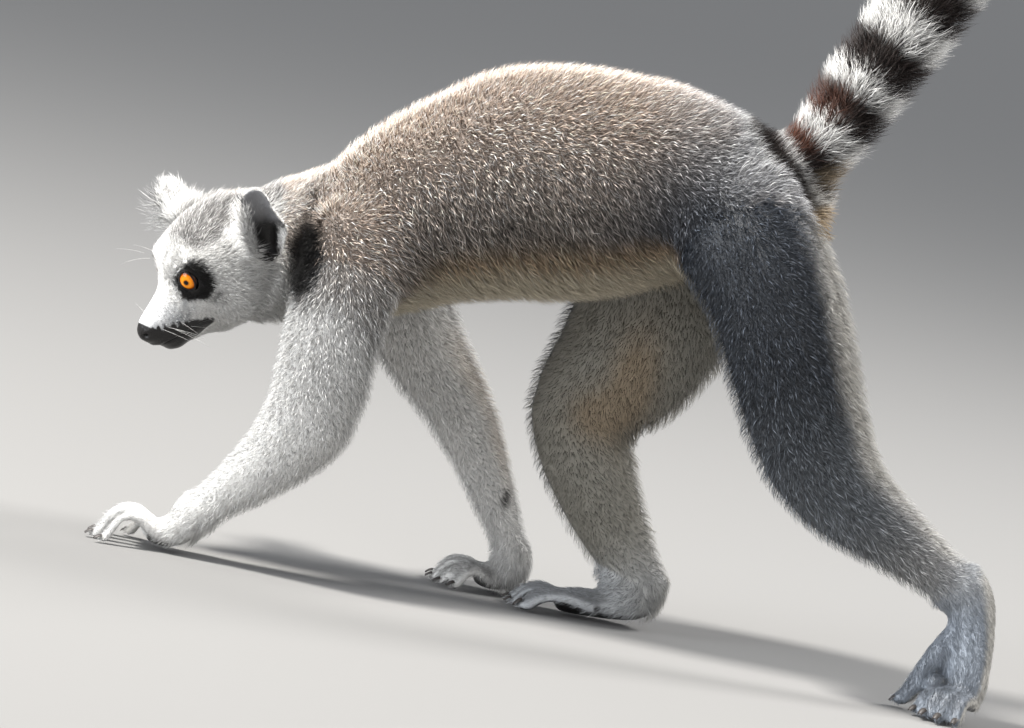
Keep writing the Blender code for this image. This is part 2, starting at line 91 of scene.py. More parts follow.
# Limbs from the body outwards, used for the lie of the coat
COURSES = {
    "arm_left": ((38, -106, 206), (50, -111, 142), (52, -116, 88), (48, -155, 37),
                 (46, -189, 10), (44, -222, 4)),
    "arm_right": ((-40, -98, 206), (-56, -62, 135), (-63, -20, 84), (-60, 8, 38),
                  (-60, 0, 10), (-62, -28, 4)),
    "leg_left": ((34, 98, 262), (52, 130, 215), (60, 165, 144), (55, 204, 106), (45, 268, 73),
                 (51, 283, 30), (80, 264, 4)),
    "leg_right": ((-34, 92, 252), (-46, 68, 182), (-46, 39, 124), (-41, 55, 76), (-37, 92, 26),
                  (-35, 49, 8), (-33, 16, 4)),
}
LIMBS = {"arm": ("upper_arm_", "forearm_", "hand_"), "leg": ("thigh_", "shank_", "foot_")}
TAIL_LENGTH = 580
TAIL_ROOT = (0, 104, 272)
TAIL_COURSE = ((0, 36), (35, 46), (62, 68), (110, 65), (160, 66), (220, 74), (290, 88), (360, 96), (430, 92),
               (490, 72), (540, 46), (580, 24))
TAIL_SWAY = 16
TAIL_STEP = 10

# The coat by node: depth, length of a tuft, its width, share of the roots
COAT = {
    "head": (5.0, 7, 0.42, 1.6),
    "neck": (8.0, 11, 0.55, 1.0),
    "trunk": (8.5, 10.5, 0.5, 1.0),
    "upper_arm": (6.5, 9, 0.52, 1.0),
    "forearm": (4.5, 7, 0.42, 1.2),
    "hand": (1.0, 4.6, 0.34, 2.2),
    "thigh": (7.0, 9.5, 0.52, 1.0),
    "shank": (5.5, 8, 0.48, 1.1),
    "foot": (1.2, 5.0, 0.36, 2.2),
    "tail": (14.0, 18, 0.75, 1.1),
    "ear": (1.2, 7, 0.4, 1.5),
}


def unit(vectors):
    vectors = np.asarray(vectors, float)
    return vectors / np.maximum(np.linalg.norm(vectors, axis=-1, keepdims=True), 1e-9)


def lengths(vectors):
    return np.linalg.norm(vectors, axis=1)


def head_axes():
    """Columns: the head's left, back and up."""
    down = Matrix.Rotation(math.radians(HEAD_DOWN), 3, "X")
    turn = Matrix.Rotation(math.radians(HEAD_TURN), 3, "Z")
    return np.array(turn @ down)


HEAD_AXES = head_axes()


def on_head(left, forward, up):
    return HEAD_PLACE + HEAD_AXES @ np.array((left, -forward, up))


def head_direction(left, forward, up):
    return unit(HEAD_AXES @ np.array((left, -forward, up)))


def in_head(points):
    """Points as left, forward and up on the head."""
    local = (points - HEAD_PLACE) @ HEAD_AXES
    local[..., 1] *= -1
    return local


def ramp(value, low, high):
    """0 below low, 1 above high and smooth between them; low may be the larger."""
    t = np.clip((np.asarray(value, float) - low) / (high - low), 0, 1)
    return t * t * (3 - 2 * t)


def bell(value, width):
    """1 where the value is 0, and next to nothing beyond twice the width."""
    return np.exp(-((value / width) ** 2))


def near(points, place, reach):
    return np.exp(-(((points - np.array(place)) / reach) ** 2).sum(1))


def on_both(local, place, reach):
    """Near a place on the head or its mirror image."""
    return near(local, place, reach) + near(local, (-place[0], *place[1:]), reach)


def mix(first, second, share):
    share = np.asarray(share)[..., None]
    return first * (1 - share) + second * share


def tail_points():
    spot = np.array(TAIL_ROOT, float)
    where, angles = zip(*TAIL_COURSE)
    found = []
    for walked in range(0, TAIL_LENGTH + 1, TAIL_STEP):
        lean = -TAIL_SWAY * math.sin(math.pi * walked / TAIL_LENGTH)
        found.append(spot + (lean, 0, 0))
        angle = math.radians(np.interp(walked, where, angles))
        spot = spot + np.array((0, math.cos(angle), math.sin(angle))) * TAIL_STEP
    return np.array(found)


def along_course(points, course):
    """For each point: how far along the course it is, the course's direction and the offset."""
    course = np.asarray(course, float)
    best = np.full(len(points), 1e9)
    run = np.zeros(len(points))
    way = np.zeros((len(points), 3))
    offset = np.zeros((len(points), 3))
    walked = 0.0
    for a, b in zip(course, course[1:]):
        step = b - a
        size = np.linalg.norm(step)
        t = np.clip((points - a) @ step / size**2, 0, 1)
        away = points - (a + t[:, None] * step)
        distance = lengths(away)
        nearer = distance < best
        best[nearer] = distance[nearer]
        run[nearer] = walked + t[nearer] * size
        way[nearer] = step / size
        offset[nearer] = away[nearer]
        walked += size
    return run, way, offset


def limb_nodes(limb, side):
    return tuple(kind + side for kind in LIMBS[limb])


# ---------------------------------------------------------------- meshes


def read(items, name, width, kind):
    """One property of all the vertices, edges or triangles of a mesh, a row for each."""
    values = np.empty(len(items) * width, kind)
    items.foreach_get(name, values)
    return values.reshape(-1, width)


def coords(mesh):
    return read(mesh.vertices, "co", 3, np.float32).astype(float)


def set_coords(mesh, points):
    mesh.vertices.foreach_set("co", np.asarray(points, np.float32).ravel())
    mesh.update()


def vertex_normals(mesh):
    return read(mesh.vertex_normals, "vector", 3, np.float32).astype(float)


def edge_pairs(mesh):
    return read(mesh.edges, "vertices", 2, np.int32)


def spread(values, pairs, passes):
    """Averages values over each vertex's neighbours, several times."""
    values = np.array(values, float)
    flat = values.reshape(len(values), -1)
    count = np.bincount(pairs.ravel(), minlength=len(flat)) + 1
    for _ in range(passes):
        total = flat.copy()
        for c in range(flat.shape[1]):
            total[:, c] += np.bincount(pairs[:, 0], flat[pairs[:, 1], c], len(flat))
            total[:, c] += np.bincount(pairs[:, 1], flat[pairs[:, 0], c], len(flat))
        flat = total / count[:, None]
    return flat.reshape(values.shape)


def new_object(name, data):
    obj = bpy.data.objects.new(name, data)
    bpy.context.scene.collection.objects.link(obj)
    return obj


def new_ball(segments, rings):
    bpy.ops.mesh.primitive_uv_sphere_add(segments=segments, ring_count=rings)
    return bpy.context.object


def new_shape(name, points, faces):
    mesh = bpy.data.meshes.new(name)
    mesh.from_pydata([tuple(p) for p in points], [], faces)
    return new_object(name, mesh)


def bake(obj):
    graph = bpy.context.evaluated_depsgraph_get()
    mesh = bpy.data.meshes.new_from_object(obj.evaluated_get(graph))
    obj.modifiers.clear()
    obj.data = mesh
    return obj


def remesh(obj, size):
    modifier = obj.modifiers.new("remesh", "REMESH")
    modifier.mode = "VOXEL"
    modifier.voxel_size = size
    return bake(obj)


def relax(obj, passes):
    modifier = obj.modifiers.new("smooth", "SMOOTH")
    modifier.iterations = passes
    return bake(obj)


def merged(name, meshes, weld=0.0):
    """One mesh out of several, with vertices closer than the weld made one."""
    bm = bmesh.new()
    for mesh in meshes:
        bm.from_mesh(mesh)
    if weld:
        bmesh.ops.remove_doubles(bm, verts=bm.verts, dist=weld)
    mesh = bpy.data.meshes.new(name)
    bm.to_mesh(mesh)
    bm.free()
    return mesh


def join(objects, name):
    mesh = merged(name, [obj.data for obj in objects])
    for obj in objects:
        bpy.data.objects.remove(obj)
    return new_object(name, mesh)


def finish(obj, name, slot, nodes, material):
    """Brings a piece to metres, names it and lets it ride on the one body."""
    obj.name = obj.data.name = name
    obj.data.transform(Matrix.Translation(SHIFT * MM) @ Matrix.Scale(MM, 4))
    obj.data.materials.clear()
    obj.data.materials.append(material)
    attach(obj, "root")
    if nodes:
        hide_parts(*nodes)
    return obj


# ---------------------------------------------------------------- shader nodes


def set_inputs(node, values):
    for name, value in values.items():
        node.inputs[name].default_value = value


def add_node(tree, kind, inputs=(), **settings):
    node = tree.nodes.new("ShaderNode" + kind)
    for name, value in settings.items():
        setattr(node, name, value)
    set_inputs(node, dict(inputs))
    return node


def link(tree, source, output, target, socket):
    tree.links.new(source.outputs[output], target.inputs[socket])


def node_material(name):
    material = bpy.data.materials.new(name)
    material.use_nodes = True
    tree = material.node_tree
    return material, tree, tree.nodes["Principled BSDF"]


# ---------------------------------------------------------------- camera and stage

PICTURE_MIDDLE = (0, -8.1, 141.7)
CAMERA_HEIGHT = 6  # degrees above the level
CAMERA_ROLL = 12
CAMERA_DISTANCE = 3288
CAMERA_LENS = 200
CAMERA_SENSOR = 36
CAMERA_SIGHT = 30  # metres

FLOOR_SIZE = 200  # metres
FLOOR_SHADES = (0.185, 0.183, 0.18, 1), (0.2, 0.198, 0.195, 1)
SOFTNESS = 40  # degrees that a sky light is wide
LIT_PLACE = (0, 0, 0.2)
HORIZON, ZENITH = (0.54, 0.55, 0.56, 1), (0.88, 0.92, 1.0, 1)
ZENITH_FROM, SKY_STRENGTH = 0.6, 0.45


def camera():
    data = bpy.data.cameras.new("camera")
    data.lens = CAMERA_LENS
    data.sensor_width = CAMERA_SENSOR
    data.clip_end = CAMERA_SIGHT
    obj = new_object("camera", data)
    rise, roll = math.radians(CAMERA_HEIGHT), math.radians(CAMERA_ROLL)
    back = np.array((math.cos(rise), 0, math.sin(rise)))
    level, above = np.array((0, 1, 0)), np.array((-math.sin(rise), 0, math.cos(rise)))
    matrix = np.eye(4)
    matrix[:3, 0] = level * math.cos(roll) + above * math.sin(roll)
    matrix[:3, 1] = above * math.cos(roll) - level * math.sin(roll)
    matrix[:3, 2] = back
    matrix[:3, 3] = (PICTURE_MIDDLE + SHIFT + back * CAMERA_DISTANCE) * MM
    obj.matrix_world = Matrix(matrix)
    bpy.context.scene.camera = obj


def stage():
    bpy.ops.mesh.primitive_plane_add(size=FLOOR_SIZE)
    floor = bpy.context.object
    floor.name = "floor"
    material, tree, shader = node_material("floor_paint")
    noise = add_node(tree, "TexNoise", {"Scale": 3})
    blend = add_node(tree, "Mix", zip("AB", FLOOR_SHADES), data_type="RGBA")
    link(tree, noise, "Fac", blend, "Factor")
    link(tree, blend, "Result", shader, "Base Color")
    set_inputs(shader, {"Roughness": 0.8})
    floor.data.materials.append(material)


def lamp(name, kind, power, colour):
    data = bpy.data.lights.new(name, kind)
    data.energy = power
    data.color = colour
    return new_object(name, data)


def area_light(name, place, size, power, colour):
    """A soft square light turned to the animal."""
    obj = lamp(name, "AREA", power, colour)
    obj.data.size = size
    obj.location = place
    obj.rotation_euler = (Vector(LIT_PLACE) - Vector(place)).to_track_quat("-Z", "Y").to_euler()


def sky_light(name, place, strength, colour):
    """An even soft light from one direction."""
    obj = lamp(name, "SUN", strength, colour)
    obj.data.angle = math.radians(SOFTNESS)
    obj.rotation_euler = Vector(place).to_track_quat("Z", "Y").to_euler()


def sky():
    """A pale sky that is brighter and bluer overhead."""
    world = bpy.data.worlds.new("studio")
    world.use_nodes = True
    tree = world.node_tree
    background = tree.nodes["Background"]
    set_inputs(background, {"Strength": SKY_STRENGTH})
    shades = add_node(tree, "ValToRGB")
    for stop, shade in zip(shades.color_ramp.elements, (HORIZON, ZENITH)):
        stop.color = shade
    shades.color_ramp.elements[1].position = ZENITH_FROM
    split = add_node(tree, "SeparateXYZ")
    link(tree, add_node(tree, "TexCoord"), "Generated", split, "Vector")
    link(tree, split, "Z", shades, "Fac")
    link(tree, shades, "Color", background, "Color")
    bpy.context.scene.world = world


def lights():
    sky()
    bpy.context.scene.view_settings.view_transform = "Standard"
    area_light("key", (0.45, -1.5, 2.7), 0.45, 235, (1, 0.97, 0.92))
    sky_light("fill", (1.1, -2.4, 0.9), 3.7, (0.94, 0.97, 1))
    sky_light("side", (2.4, 0.9, 0.7), 0.8, (1, 0.99, 0.97))
    area_light("back", (-1.0, 2.0, 2.0), 0.8, 100, (1, 0.98, 0.95))


# ---------------------------------------------------------------- the skin

FLESH_GROWTH = 0.6  # closes the thin cuts between the solids
FLESH_GRAIN, SKIN_GRAIN = 1.6, 1.05
SKIN_STEPS = 6  # in which the surface is drawn in
SKIN_TRIANGLES = 300000
LID_HALF_WIDTH, LID_HALF_HEIGHT, LID_CORNER = 4.7, 6.1, 0.10
LID_SKIN = 0.9  # how far the lid's skin stands over the eyeball
RIM_LIFT, RIM_THICKNESS = 0.35, 0.62
MOUTH = ((0, 76.5, -35.5), (5, 73, -36), (9, 66, -35), (12.5, 56, -34.5), (15.5, 46, -34), (17, 41, -35.5))
NOSTRIL = (4.6, 77.2, -25.5), (1.5, 2.4, 1.3)
NOSE_WING = (6.2, 76, -23.5), (2, 3, 2)
WEB_PLACE, WEB_RADII = (55.5, 266, 19), (6.5, 6, 5.5)
# Where the face is cut finer: place on the head and reach
FINE_PLACES = (((0, 56, -20), 36), ((14, 50, -3), 15), ((-14, 50, -3), 15), ((0, 76, -28), 12))
PAW_PLACES = ((46, -205, 5), (-58, -15, 5), (56, 268, 15), (-38, 40, 8))


def flesh_names(frame):
    return [n for n in sorted(frame["nodes"]) if not n.startswith(("eye", "ear"))]


def kind_of(name):
    """The part of the coat table that a node follows."""
    for kind in COAT:
        if name.startswith(kind):
            return kind
    raise ValueError(name)


class Solids:
    """The flesh and ears of the frame, for telling which node a point belongs to."""

    def __init__(self, frame):
        self.names = flesh_names(frame) + ["ear_left", "ear_right"]
        points, faces, self.owner = [], [], []
        for i, name in enumerate(self.names):
            mesh = frame["nodes"][name].data
            start = len(points)
            points += [tuple(p) for p in coords(mesh) / MM - SHIFT]
            for polygon in mesh.polygons:
                faces.append([start + v for v in polygon.vertices])
                self.owner.append(i)
        self.owner = np.array(self.owner)
        self.tree = BVHTree.FromPolygons(points, faces)

    def labels(self, points, with_ears=True):
        nearest = [self.tree.find_nearest(p)[2] for p in points]
        labels = self.owner[nearest]
        labels[self.mask(labels, "ear")] = self.names.index("head")
        for name, side in SIDES:
            if with_ears:
                labels[on_ear(points, side)] = self.names.index("ear_" + name)
        return labels

    def column(self, labels, column):
        """A coat table column for each label."""
        return np.array([COAT[kind_of(name)][column] for name in self.names], float)[labels]

    def mask(self, labels, *prefixes):
        chosen = [name.startswith(prefixes) for name in self.names]
        return np.array(chosen)[labels]


class Spots:
    """Points on the skin or in the coat, with their normals and the nodes they belong to."""

    def __init__(self, points, normals, labels, solids):
        self.points, self.normals = points, normals
        self.labels, self.solids = labels, solids

    def on(self, *prefixes):
        return self.solids.mask(self.labels, *prefixes)

    def column(self, column):
        return self.solids.column(self.labels, column)

    def pick(self, *prefixes):
        """Which spots lie on the nodes, and their points and normals."""
        chosen = self.on(*prefixes)
        return chosen, self.points[chosen], self.normals[chosen]


def head_depth(points):
    """The coat's depth on the head: none on the nose and lips, deepest at the cheeks."""
    _, forward, up = in_head(points).T
    depth = np.interp(forward, (-15, 0, 20, 38, 50, 62, 70), (7, 6, 4.5, 2.2, 1.3, 0.7, 0.3))
    crown = ramp(up, 0, 14) * ramp(forward, 40, 25)
    return depth * (1 - 0.25 * crown)


def coat_depth(solids, labels, points):
    depth = solids.column(labels, 0)
    head = solids.mask(labels, "head")
    depth[head] = head_depth(points[head])
    return depth


def flesh(frame):
    """The solids of flesh grown together across the thin cuts between them."""
    mesh = merged("flesh", [frame["nodes"][name].data for name in flesh_names(frame)], 1e-6)
    set_coords(mesh, coords(mesh) / MM - SHIFT + vertex_normals(mesh) * FLESH_GROWTH)
    obj = new_object("flesh", mesh)
    remesh(obj, FLESH_GRAIN)
    return relax(obj, 4)


def draw_in(obj, solids):
    """Moves the surface inwards by the coat's depth, in short steps so that it stays smooth."""
    mesh = obj.data
    pairs = edge_pairs(mesh)
    points = coords(mesh)
    labels = solids.labels(points, with_ears=False)
    depth = spread(coat_depth(solids, labels, points), pairs, 12)
    for _ in range(SKIN_STEPS):
        points = coords(mesh) - vertex_normals(mesh) * (depth / SKIN_STEPS)[:, None]
        set_coords(mesh, mix(points, spread(points, pairs, 3), np.clip(depth / 5, 0, 1)))
    return obj


def ear_frame(side):
    """An ear's middle, half its height, and its upright, face and across directions."""
    tip, foot = on_head(*EAR_TIPS[side]), on_head(*EAR_FEET[side])
    upright = unit(tip - foot)
    face = head_direction(0.8 * side, 0.6, 0)
    face = unit(face - upright * (face @ upright))
    return (tip + foot) / 2, np.linalg.norm(tip - foot) / 2, upright, face, np.cross(upright, face)


def ear_cup(wide, tall):
    """How far out the ear's leaf stands: wide and tall run from -1 to 1 over it."""
    deep = 3.0 + 2.6 * ramp(tall, 0.5, -0.6)
    dish = 8.5 * (wide**2 - 0.35) - deep * (1 - wide**2) * ramp(tall, 0.9, -0.3)
    fold = 1.8 * bell(tall - 0.12 - 0.3 * wide, 0.09) * ramp(wide, -0.2, 0.3)
    return dish - 1.5 * ramp(np.abs(wide), 0.75, 1) + 2.5 + fold


def ear_outline(tall, side):
    """The ear's half width and how far its middle lies backwards at a height."""
    share = np.interp(tall, EAR_HEIGHTS, EAR_SHARES)
    return EAR_HALF_WIDTHS[side] * share, side * np.interp(tall, EAR_HEIGHTS, EAR_BOWS)


def ear(side):
    """The bare shell of an ear: a thin cupped leaf, deepest near its foot, and its base."""
    middle, half, upright, face, across = ear_frame(side)
    leaf = new_ball(48, 32)
    wide, thick, tall = coords(leaf.data).T
    width, bow = ear_outline(tall, side)
    out = 1.25 * np.sign(thick) * np.abs(thick) ** 0.3 + ear_cup(wide * side, tall)
    points = middle + np.outer(width * wide + bow, across) + np.outer(half * tall, upright)
    set_coords(leaf.data, points + np.outer(out, face))
    base = new_ball(24, 16)
    set_coords(base.data, on_head(*EAR_BASES[side]) + coords(base.data) * EAR_BASE_RADII @ HEAD_AXES.T)
    return join([leaf, base], "ear")


def ear_place(points, side):
    """Where points are over the ear's leaf, from -1 to 1 across and up it, and how far out."""
    middle, half, upright, face, across = ear_frame(side)
    away = points - middle
    tall = away @ upright / half
    width, bow = ear_outline(tall, side)
    wide = (away @ across - bow) * side / width
    return wide, tall, away @ face - ear_cup(np.clip(wide, -1, 1), np.clip(tall, -1, 1))


def on_ear(points, side):
    wide, tall, out = ear_place(points, side)
    reach = np.hypot(wide, tall)
    return (np.abs(out) < 2.4) & (reach < 1.12) | (out > 0) & (out < 7) & (reach < 0.88)


def eye_axes(side):
    """An eye's middle, where it looks, and its level and upright directions."""
    middle = on_head(EYE_PLACE[0] * side, *EYE_PLACE[1:])
    look = head_direction(EYE_LOOK[0] * side, *EYE_LOOK[1:])
    upright = head_direction(0, 0.15, 1)
    upright = unit(upright - look * (look @ upright))
    return middle, look, np.cross(upright, look), upright


def lid_reach(points, side):
    """Distance from the eye's axis, where 1 is the lids' edge, and the depth along the axis."""
    middle, look, level, upright = eye_axes(side)
    away = points - middle
    across, high = away @ level, away @ upright
    corner = 1 - LID_CORNER * np.abs(across / LID_HALF_WIDTH) ** 2
    reach = np.hypot(across / LID_HALF_WIDTH, high / (LID_HALF_HEIGHT * corner))
    return reach, away, away @ look


def open_eyes(points):
    """Lays the lids over the eyeballs and sinks the skin between them."""
    for _, side in SIDES:
        reach, away, front = lid_reach(points, side)
        radius = lengths(away)
        ahead = (front > 0) & (reach < 2.4) & (radius < 24)
        lid = EYE_RADIUS + LID_SKIN + 0.5 * bell(reach - 1.45, 0.2)
        share = ramp(reach, 2.2, 1.25)
        wanted = radius * (1 - share) + lid * share
        wanted = np.where(reach < 0.95, EYE_RADIUS - 1.6, wanted)
        scale = np.where(ahead, wanted / np.maximum(radius, 1e-6), 1)
        points = points + away * (scale - 1)[:, None]
    return points


def open_mouth(points, normals):
    """The line between the lips, the nostrils and the groove under the nose."""
    local = in_head(points)
    push = np.zeros(len(points))
    for _, side in SIDES:
        mirror = (side, 1, 1)
        offset = along_course(local, np.array(MOUTH) * mirror)[2]
        away = lengths(offset)
        push -= 1.5 * bell(away, 0.8)
        push += 0.5 * (ramp(offset[:, 2], 0, 1.2) * bell(away - 1.8, 1.3))
        push -= 2.6 * near(local, np.array(NOSTRIL[0]) * mirror, NOSTRIL[1])
        push += 0.5 * near(local, np.array(NOSE_WING[0]) * mirror, NOSE_WING[1])
    front = ramp(local[:, 1], 70, 74) * ramp(local[:, 2], -25, -28) * ramp(local[:, 2], -37, -35)
    push -= 0.7 * bell(local[:, 0], 0.6) * front
    push[local[:, 1] < 36] = 0
    return points + normals * push[:, None]


def refine(obj, middle, reach):
    """Splits the faces near a point, for finer sculpting."""
    bm = bmesh.new()
    bm.from_mesh(obj.data)
    middle = Vector(middle)
    edges = [e for e in bm.edges if (e.verts[0].co - middle).length < reach]
    bmesh.ops.subdivide_edges(bm, edges=edges, cuts=1, use_grid_fill=True, smooth=0)
    bm.to_mesh(obj.data)
    bm.free()
    obj.data.update()


def lid_rim(side):
    """The moist edge of the lids: a thin ring on the eyeball."""
    middle, look, level, upright = eye_axes(side)
    turns, around = 72, 8
    t = np.linspace(0, 2 * np.pi, turns, endpoint=False)
    across = LID_HALF_WIDTH * np.cos(t)
    high = LID_HALF_HEIGHT * np.sin(t) * (1 - LID_CORNER * np.cos(t) ** 2)
    depth = np.sqrt((EYE_RADIUS + RIM_LIFT) ** 2 - across**2 - high**2)
    course = middle + np.outer(across, level) + np.outer(high, upright) + np.outer(depth, look)
    out = unit(course - middle)
    way = unit(np.roll(course, -1, 0) - np.roll(course, 1, 0))
    side_way = np.cross(way, out)
    points, faces = [], []
    for i in range(turns):
        for j in range(around):
            a = 2 * np.pi * j / around
            points.append(course[i] + RIM_THICKNESS * (out[i] * math.cos(a) + side_way[i] * math.sin(a)))
            n, m = (i + 1) % turns, (j + 1) % around
            faces.append((i * around + j, n * around + j, n * around + m, i * around + m))
    return new_shape("lid", points, faces)


def thin_skin(obj):
    """Fewer triangles where the coat hides the skin, all of them kept at the face."""
    group = obj.vertex_groups.new(name="plain")
    points = coords(obj.data)
    weight = ramp(lengths(points - on_head(0, 50, -20)), 38, 60)
    for paw in PAW_PLACES:
        weight = np.minimum(weight, 0.75 + 0.25 * ramp(lengths(points - paw), 35, 60))
    for level in range(1, 11):
        chosen = np.nonzero(np.round(weight * 10) == level)[0]
        if len(chosen):
            group.add(chosen.tolist(), level / 10, "REPLACE")
    modifier = obj.modifiers.new("thin", "DECIMATE")
    modifier.ratio = min(1, SKIN_TRIANGLES / (2 * len(obj.data.polygons)))
    modifier.vertex_group = "plain"
    bake(obj)
    obj.vertex_groups.clear()
    return obj


def toe_web():
    """The web between the first toe of the near foot and the others."""
    web = new_ball(24, 16)
    set_coords(web.data, coords(web.data) * WEB_RADII + WEB_PLACE)
    return web


def skin(frame, solids):
    body = draw_in(flesh(frame), solids)
    body = join([body, ear(1), ear(-1), toe_web()], "skin")
    remesh(body, SKIN_GRAIN)
    relax(body, 2)
    for place, reach in FINE_PLACES:
        refine(body, on_head(*place), reach)
    points = coords(body.data)
    soft = spread(points, edge_pairs(body.data), 14)
    for _, side in SIDES:
        reach, _, front = lid_reach(points, side)
        points = mix(points, soft, ramp(reach, 3.2, 2.2) * (front > 0) * (np.abs(front) < 25))
    set_coords(body.data, open_eyes(points))
    set_coords(body.data, open_mouth(coords(body.data), vertex_normals(body.data)))
    thin_skin(body)
    return join([body, lid_rim(1), lid_rim(-1)], "skin")


# ---------------------------------------------------------------- the markings


def srgb(*values):
    """A colour given as eight-bit display values."""
    share = np.array(values) / 255
    return np.where(share > 0.04045, ((share + 0.055) / 1.055) ** 2.4, share / 12.92)


WHITE = srgb(240, 239, 237)
CREAM = srgb(206, 195, 174)
SHADED = srgb(154, 151, 142)
FOOT = srgb(206, 209, 213)
# the near foot's white fur, darkened and blued as painted shade
NEAR_FOOT_IN_SHADE = srgb(156, 164, 175)
BUFF = srgb(176, 146, 106)
WARM = srgb(230, 205, 186)
GREY = srgb(216, 203, 192)
# the grey of the outer thighs and shanks: partly their own grey, partly painted shade that darkens and blues
# it
LEG_GREY_IN_SHADE = srgb(61, 66, 74)
RUMP = srgb(208, 210, 214)
PALE = srgb(233, 231, 228)
CROWN = srgb(162, 160, 158)
SMOKE = srgb(122, 127, 133)
# painted shade for the crease where each ear meets the head
CREASE_SHADE = srgb(40, 37, 36)
BLACK = srgb(26, 23, 22)
RUST = srgb(112, 58, 30)
BARE = srgb(20, 18, 18)
EAR_SKIN = srgb(108, 108, 110)
AMBER, ORANGE, HORN = srgb(244, 152, 18), srgb(206, 98, 8), srgb(46, 41, 39)

# Marks with a place and a reach: these on the head,
TEMPLE = (28, 23, -1), (8, 12, 7)
CHEEK = (28, 18, -10), (9, 13, 12)
BELOW_EYE = (15, 50, -18), (8, 11, 6)
# painted shade in the crease where each ear meets the head
EAR_CREASE_SHADE = (31, 12, 0.5), (6, 7, 2.4)
BEFORE_EAR = (33, 13, 8), (9, 10, 13)
ABOVE_EAR = (25, 0, 19), (8, 9, 6)
BROW = (0, 46, 5), (14, 12, 12)
# and these on the body
# the dark patches behind the ruff: partly the neck's dark fur, partly painted shadow in the groove between
# ruff and shoulder
NECK_BLACK_AND_SHADOW = (48, -135, 177), (36, 14, 28)
FAR_NECK_BLACK_AND_SHADOW = (-42, -162, 182), (22, 16, 28)
WRIST_GLAND = (-48, 6, 57), (10, 4.5, 8)
BELOW_TAIL = (0, 150, 258), (24, 16, 20)
BUFF_BANDS = ((-18, 63, 140), (26, 13, 30)), ((-22, 48, 118), (22, 15, 13))
HEELS = ((48, -158, 14), (-60, 20, 16), (-38, 92, 22), (50, 285, 40))
HEEL_REACH = (22, 20, 20)

LEG_LENGTHS = {1: 330, -1: 300}
# How much painted shade darkens the flanks where they face down, and the tops of the paws where they face up
FLANK_PAINTED_SHADE, TOPS_PAINTED_SHADE = 0.68, 0.58
EYE_PATCH_MIDDLE, EYE_PATCH_RADII, EYE_PATCH_POWER = (3.7, -1.2), (12, 13.6), 2.3
# Where the tail's black rings begin and end; beyond them they follow evenly
FIRST_RINGS = ((16, 29), (35, 52), (67, 88), (102, 125))
RING_START, RING_STEP, RING_SHARE, LAST_RING = 147, 42, 0.53, 540


def lay_over(colour, *layers):
    """The colour with each layer's colour laid over it by the layer's share."""
    for layer, share in layers:
        colour = mix(colour, layer, share)
    return colour


def mottle(points, size):
    """Soft patches of about that size, mostly between -1 and 1."""
    rng = np.random.default_rng(MOTTLE_SEED)
    total = np.zeros(len(points))
    for _ in range(6):
        way = unit(rng.normal(size=3)) * 2 * np.pi / size
        total += np.sin(points @ way + rng.uniform(0, 2 * np.pi))
    return total / 3


def paint_trunk(points, normals):
    x, y, z = points.T
    up = normals[:, 2]
    ahead = y + 45 * ramp(x, 10, -10)  # the right thigh is swung forwards
    haunch = ramp(ahead, 0, 95) * ramp(z + 0.25 * (ahead - 90), 302, 244) * ramp(up, 0.98, 0.6)
    under = ramp(up, -0.5, -0.8)
    below_tail = near(points, *BELOW_TAIL)
    rings, ring_grizzle = paint_tail(points, normals)
    share = on_tail_root(points)
    back = mix(GREY, WARM, ramp(up, -0.25, 0.7) * ramp(y, 125, 30) * ramp(y, -150, -100))
    colour = lay_over(
        # painted shade: the trunk darker where it faces down and sideways
        back * (1 - FLANK_PAINTED_SHADE * ramp(up, 0.4, -0.4))[:, None],
        (RUMP, ramp(y, 30, 105) * ramp(up, -0.5, 0.3) * 0.9),
        (WARM * 0.8, 0.3 * ramp(mottle(points, 60), 0.2, 1) * ramp(up, 0, 0.6)),
        # the thigh's grey with its painted shade, reaching up over the haunch
        (LEG_GREY_IN_SHADE * 1.4, haunch),
        (BUFF, ramp(up, -0.3, -0.55) * ramp(y, -90, -40) * 0.5),
        (CREAM, under),
        (mix(BUFF, CREAM, 0.4), np.clip(1.6 * below_tail, 0, 1)),
        (rings, share),
    )
    grizzle = (1 - 0.8 * np.maximum(under, below_tail)) * (1 - share) * (1 - 0.25 * haunch)
    return collar(points, colour, grizzle + ring_grizzle * share)


def on_tail_root(points):
    """How far points of the trunk belong to the tail, which comes out of its rear."""
    run, _, offset = along_course(points, tail_points())
    return ramp(run, 8, 13) * ramp(lengths(offset), 34, 29)


def collar(points, colour, grizzle):
    """The white ruff that closes the face off behind, and behind it the neck's dark fur with painted shadow
    where the ruff stands over the shoulder.
    """
    left, forward, up = in_head(points).T
    wide = np.abs(left)
    edge = np.interp(up, (-60, -43, -21, 3, 10), (12, -1, -11, -21, -22))
    white = ramp(forward, edge - 2.5, edge + 2.5) * ramp(wide, 48, 43) * ramp(up, 12, 4) * ramp(wide, 14, 22)
    white = np.maximum(white, ramp(up, -34, -42) * ramp(forward, -12, 2))
    # the neck's dark fur and the painted shadow behind the ruff
    black = near(points, *NECK_BLACK_AND_SHADOW) + 0.35 * near(points, *FAR_NECK_BLACK_AND_SHADOW)
    black = np.clip(2.6 * black - 0.5, 0, 1) * (1 - white)
    colour = lay_over(colour, (BLACK * 0.4, black), (WHITE, white))
    return colour, grizzle * (1 - 0.85 * np.maximum(white, black))


def paint_neck(points, normals):
    under = ramp(normals[:, 2], -0.35, -0.7)
    colour = mix(WARM, GREY, ramp(np.abs(in_head(points)[:, 0]), 8, 30))
    return collar(points, mix(colour, mix(WHITE, CREAM, 0.3), under), 1 - 0.9 * under)


def shade_paw_tops(colour, normals, share):
    """Painted shade over the tops of the hands and feet, darker where they face up."""
    return colour * (1 - TOPS_PAINTED_SHADE * share * ramp(normals[:, 2], 0.0, 0.75))[:, None]


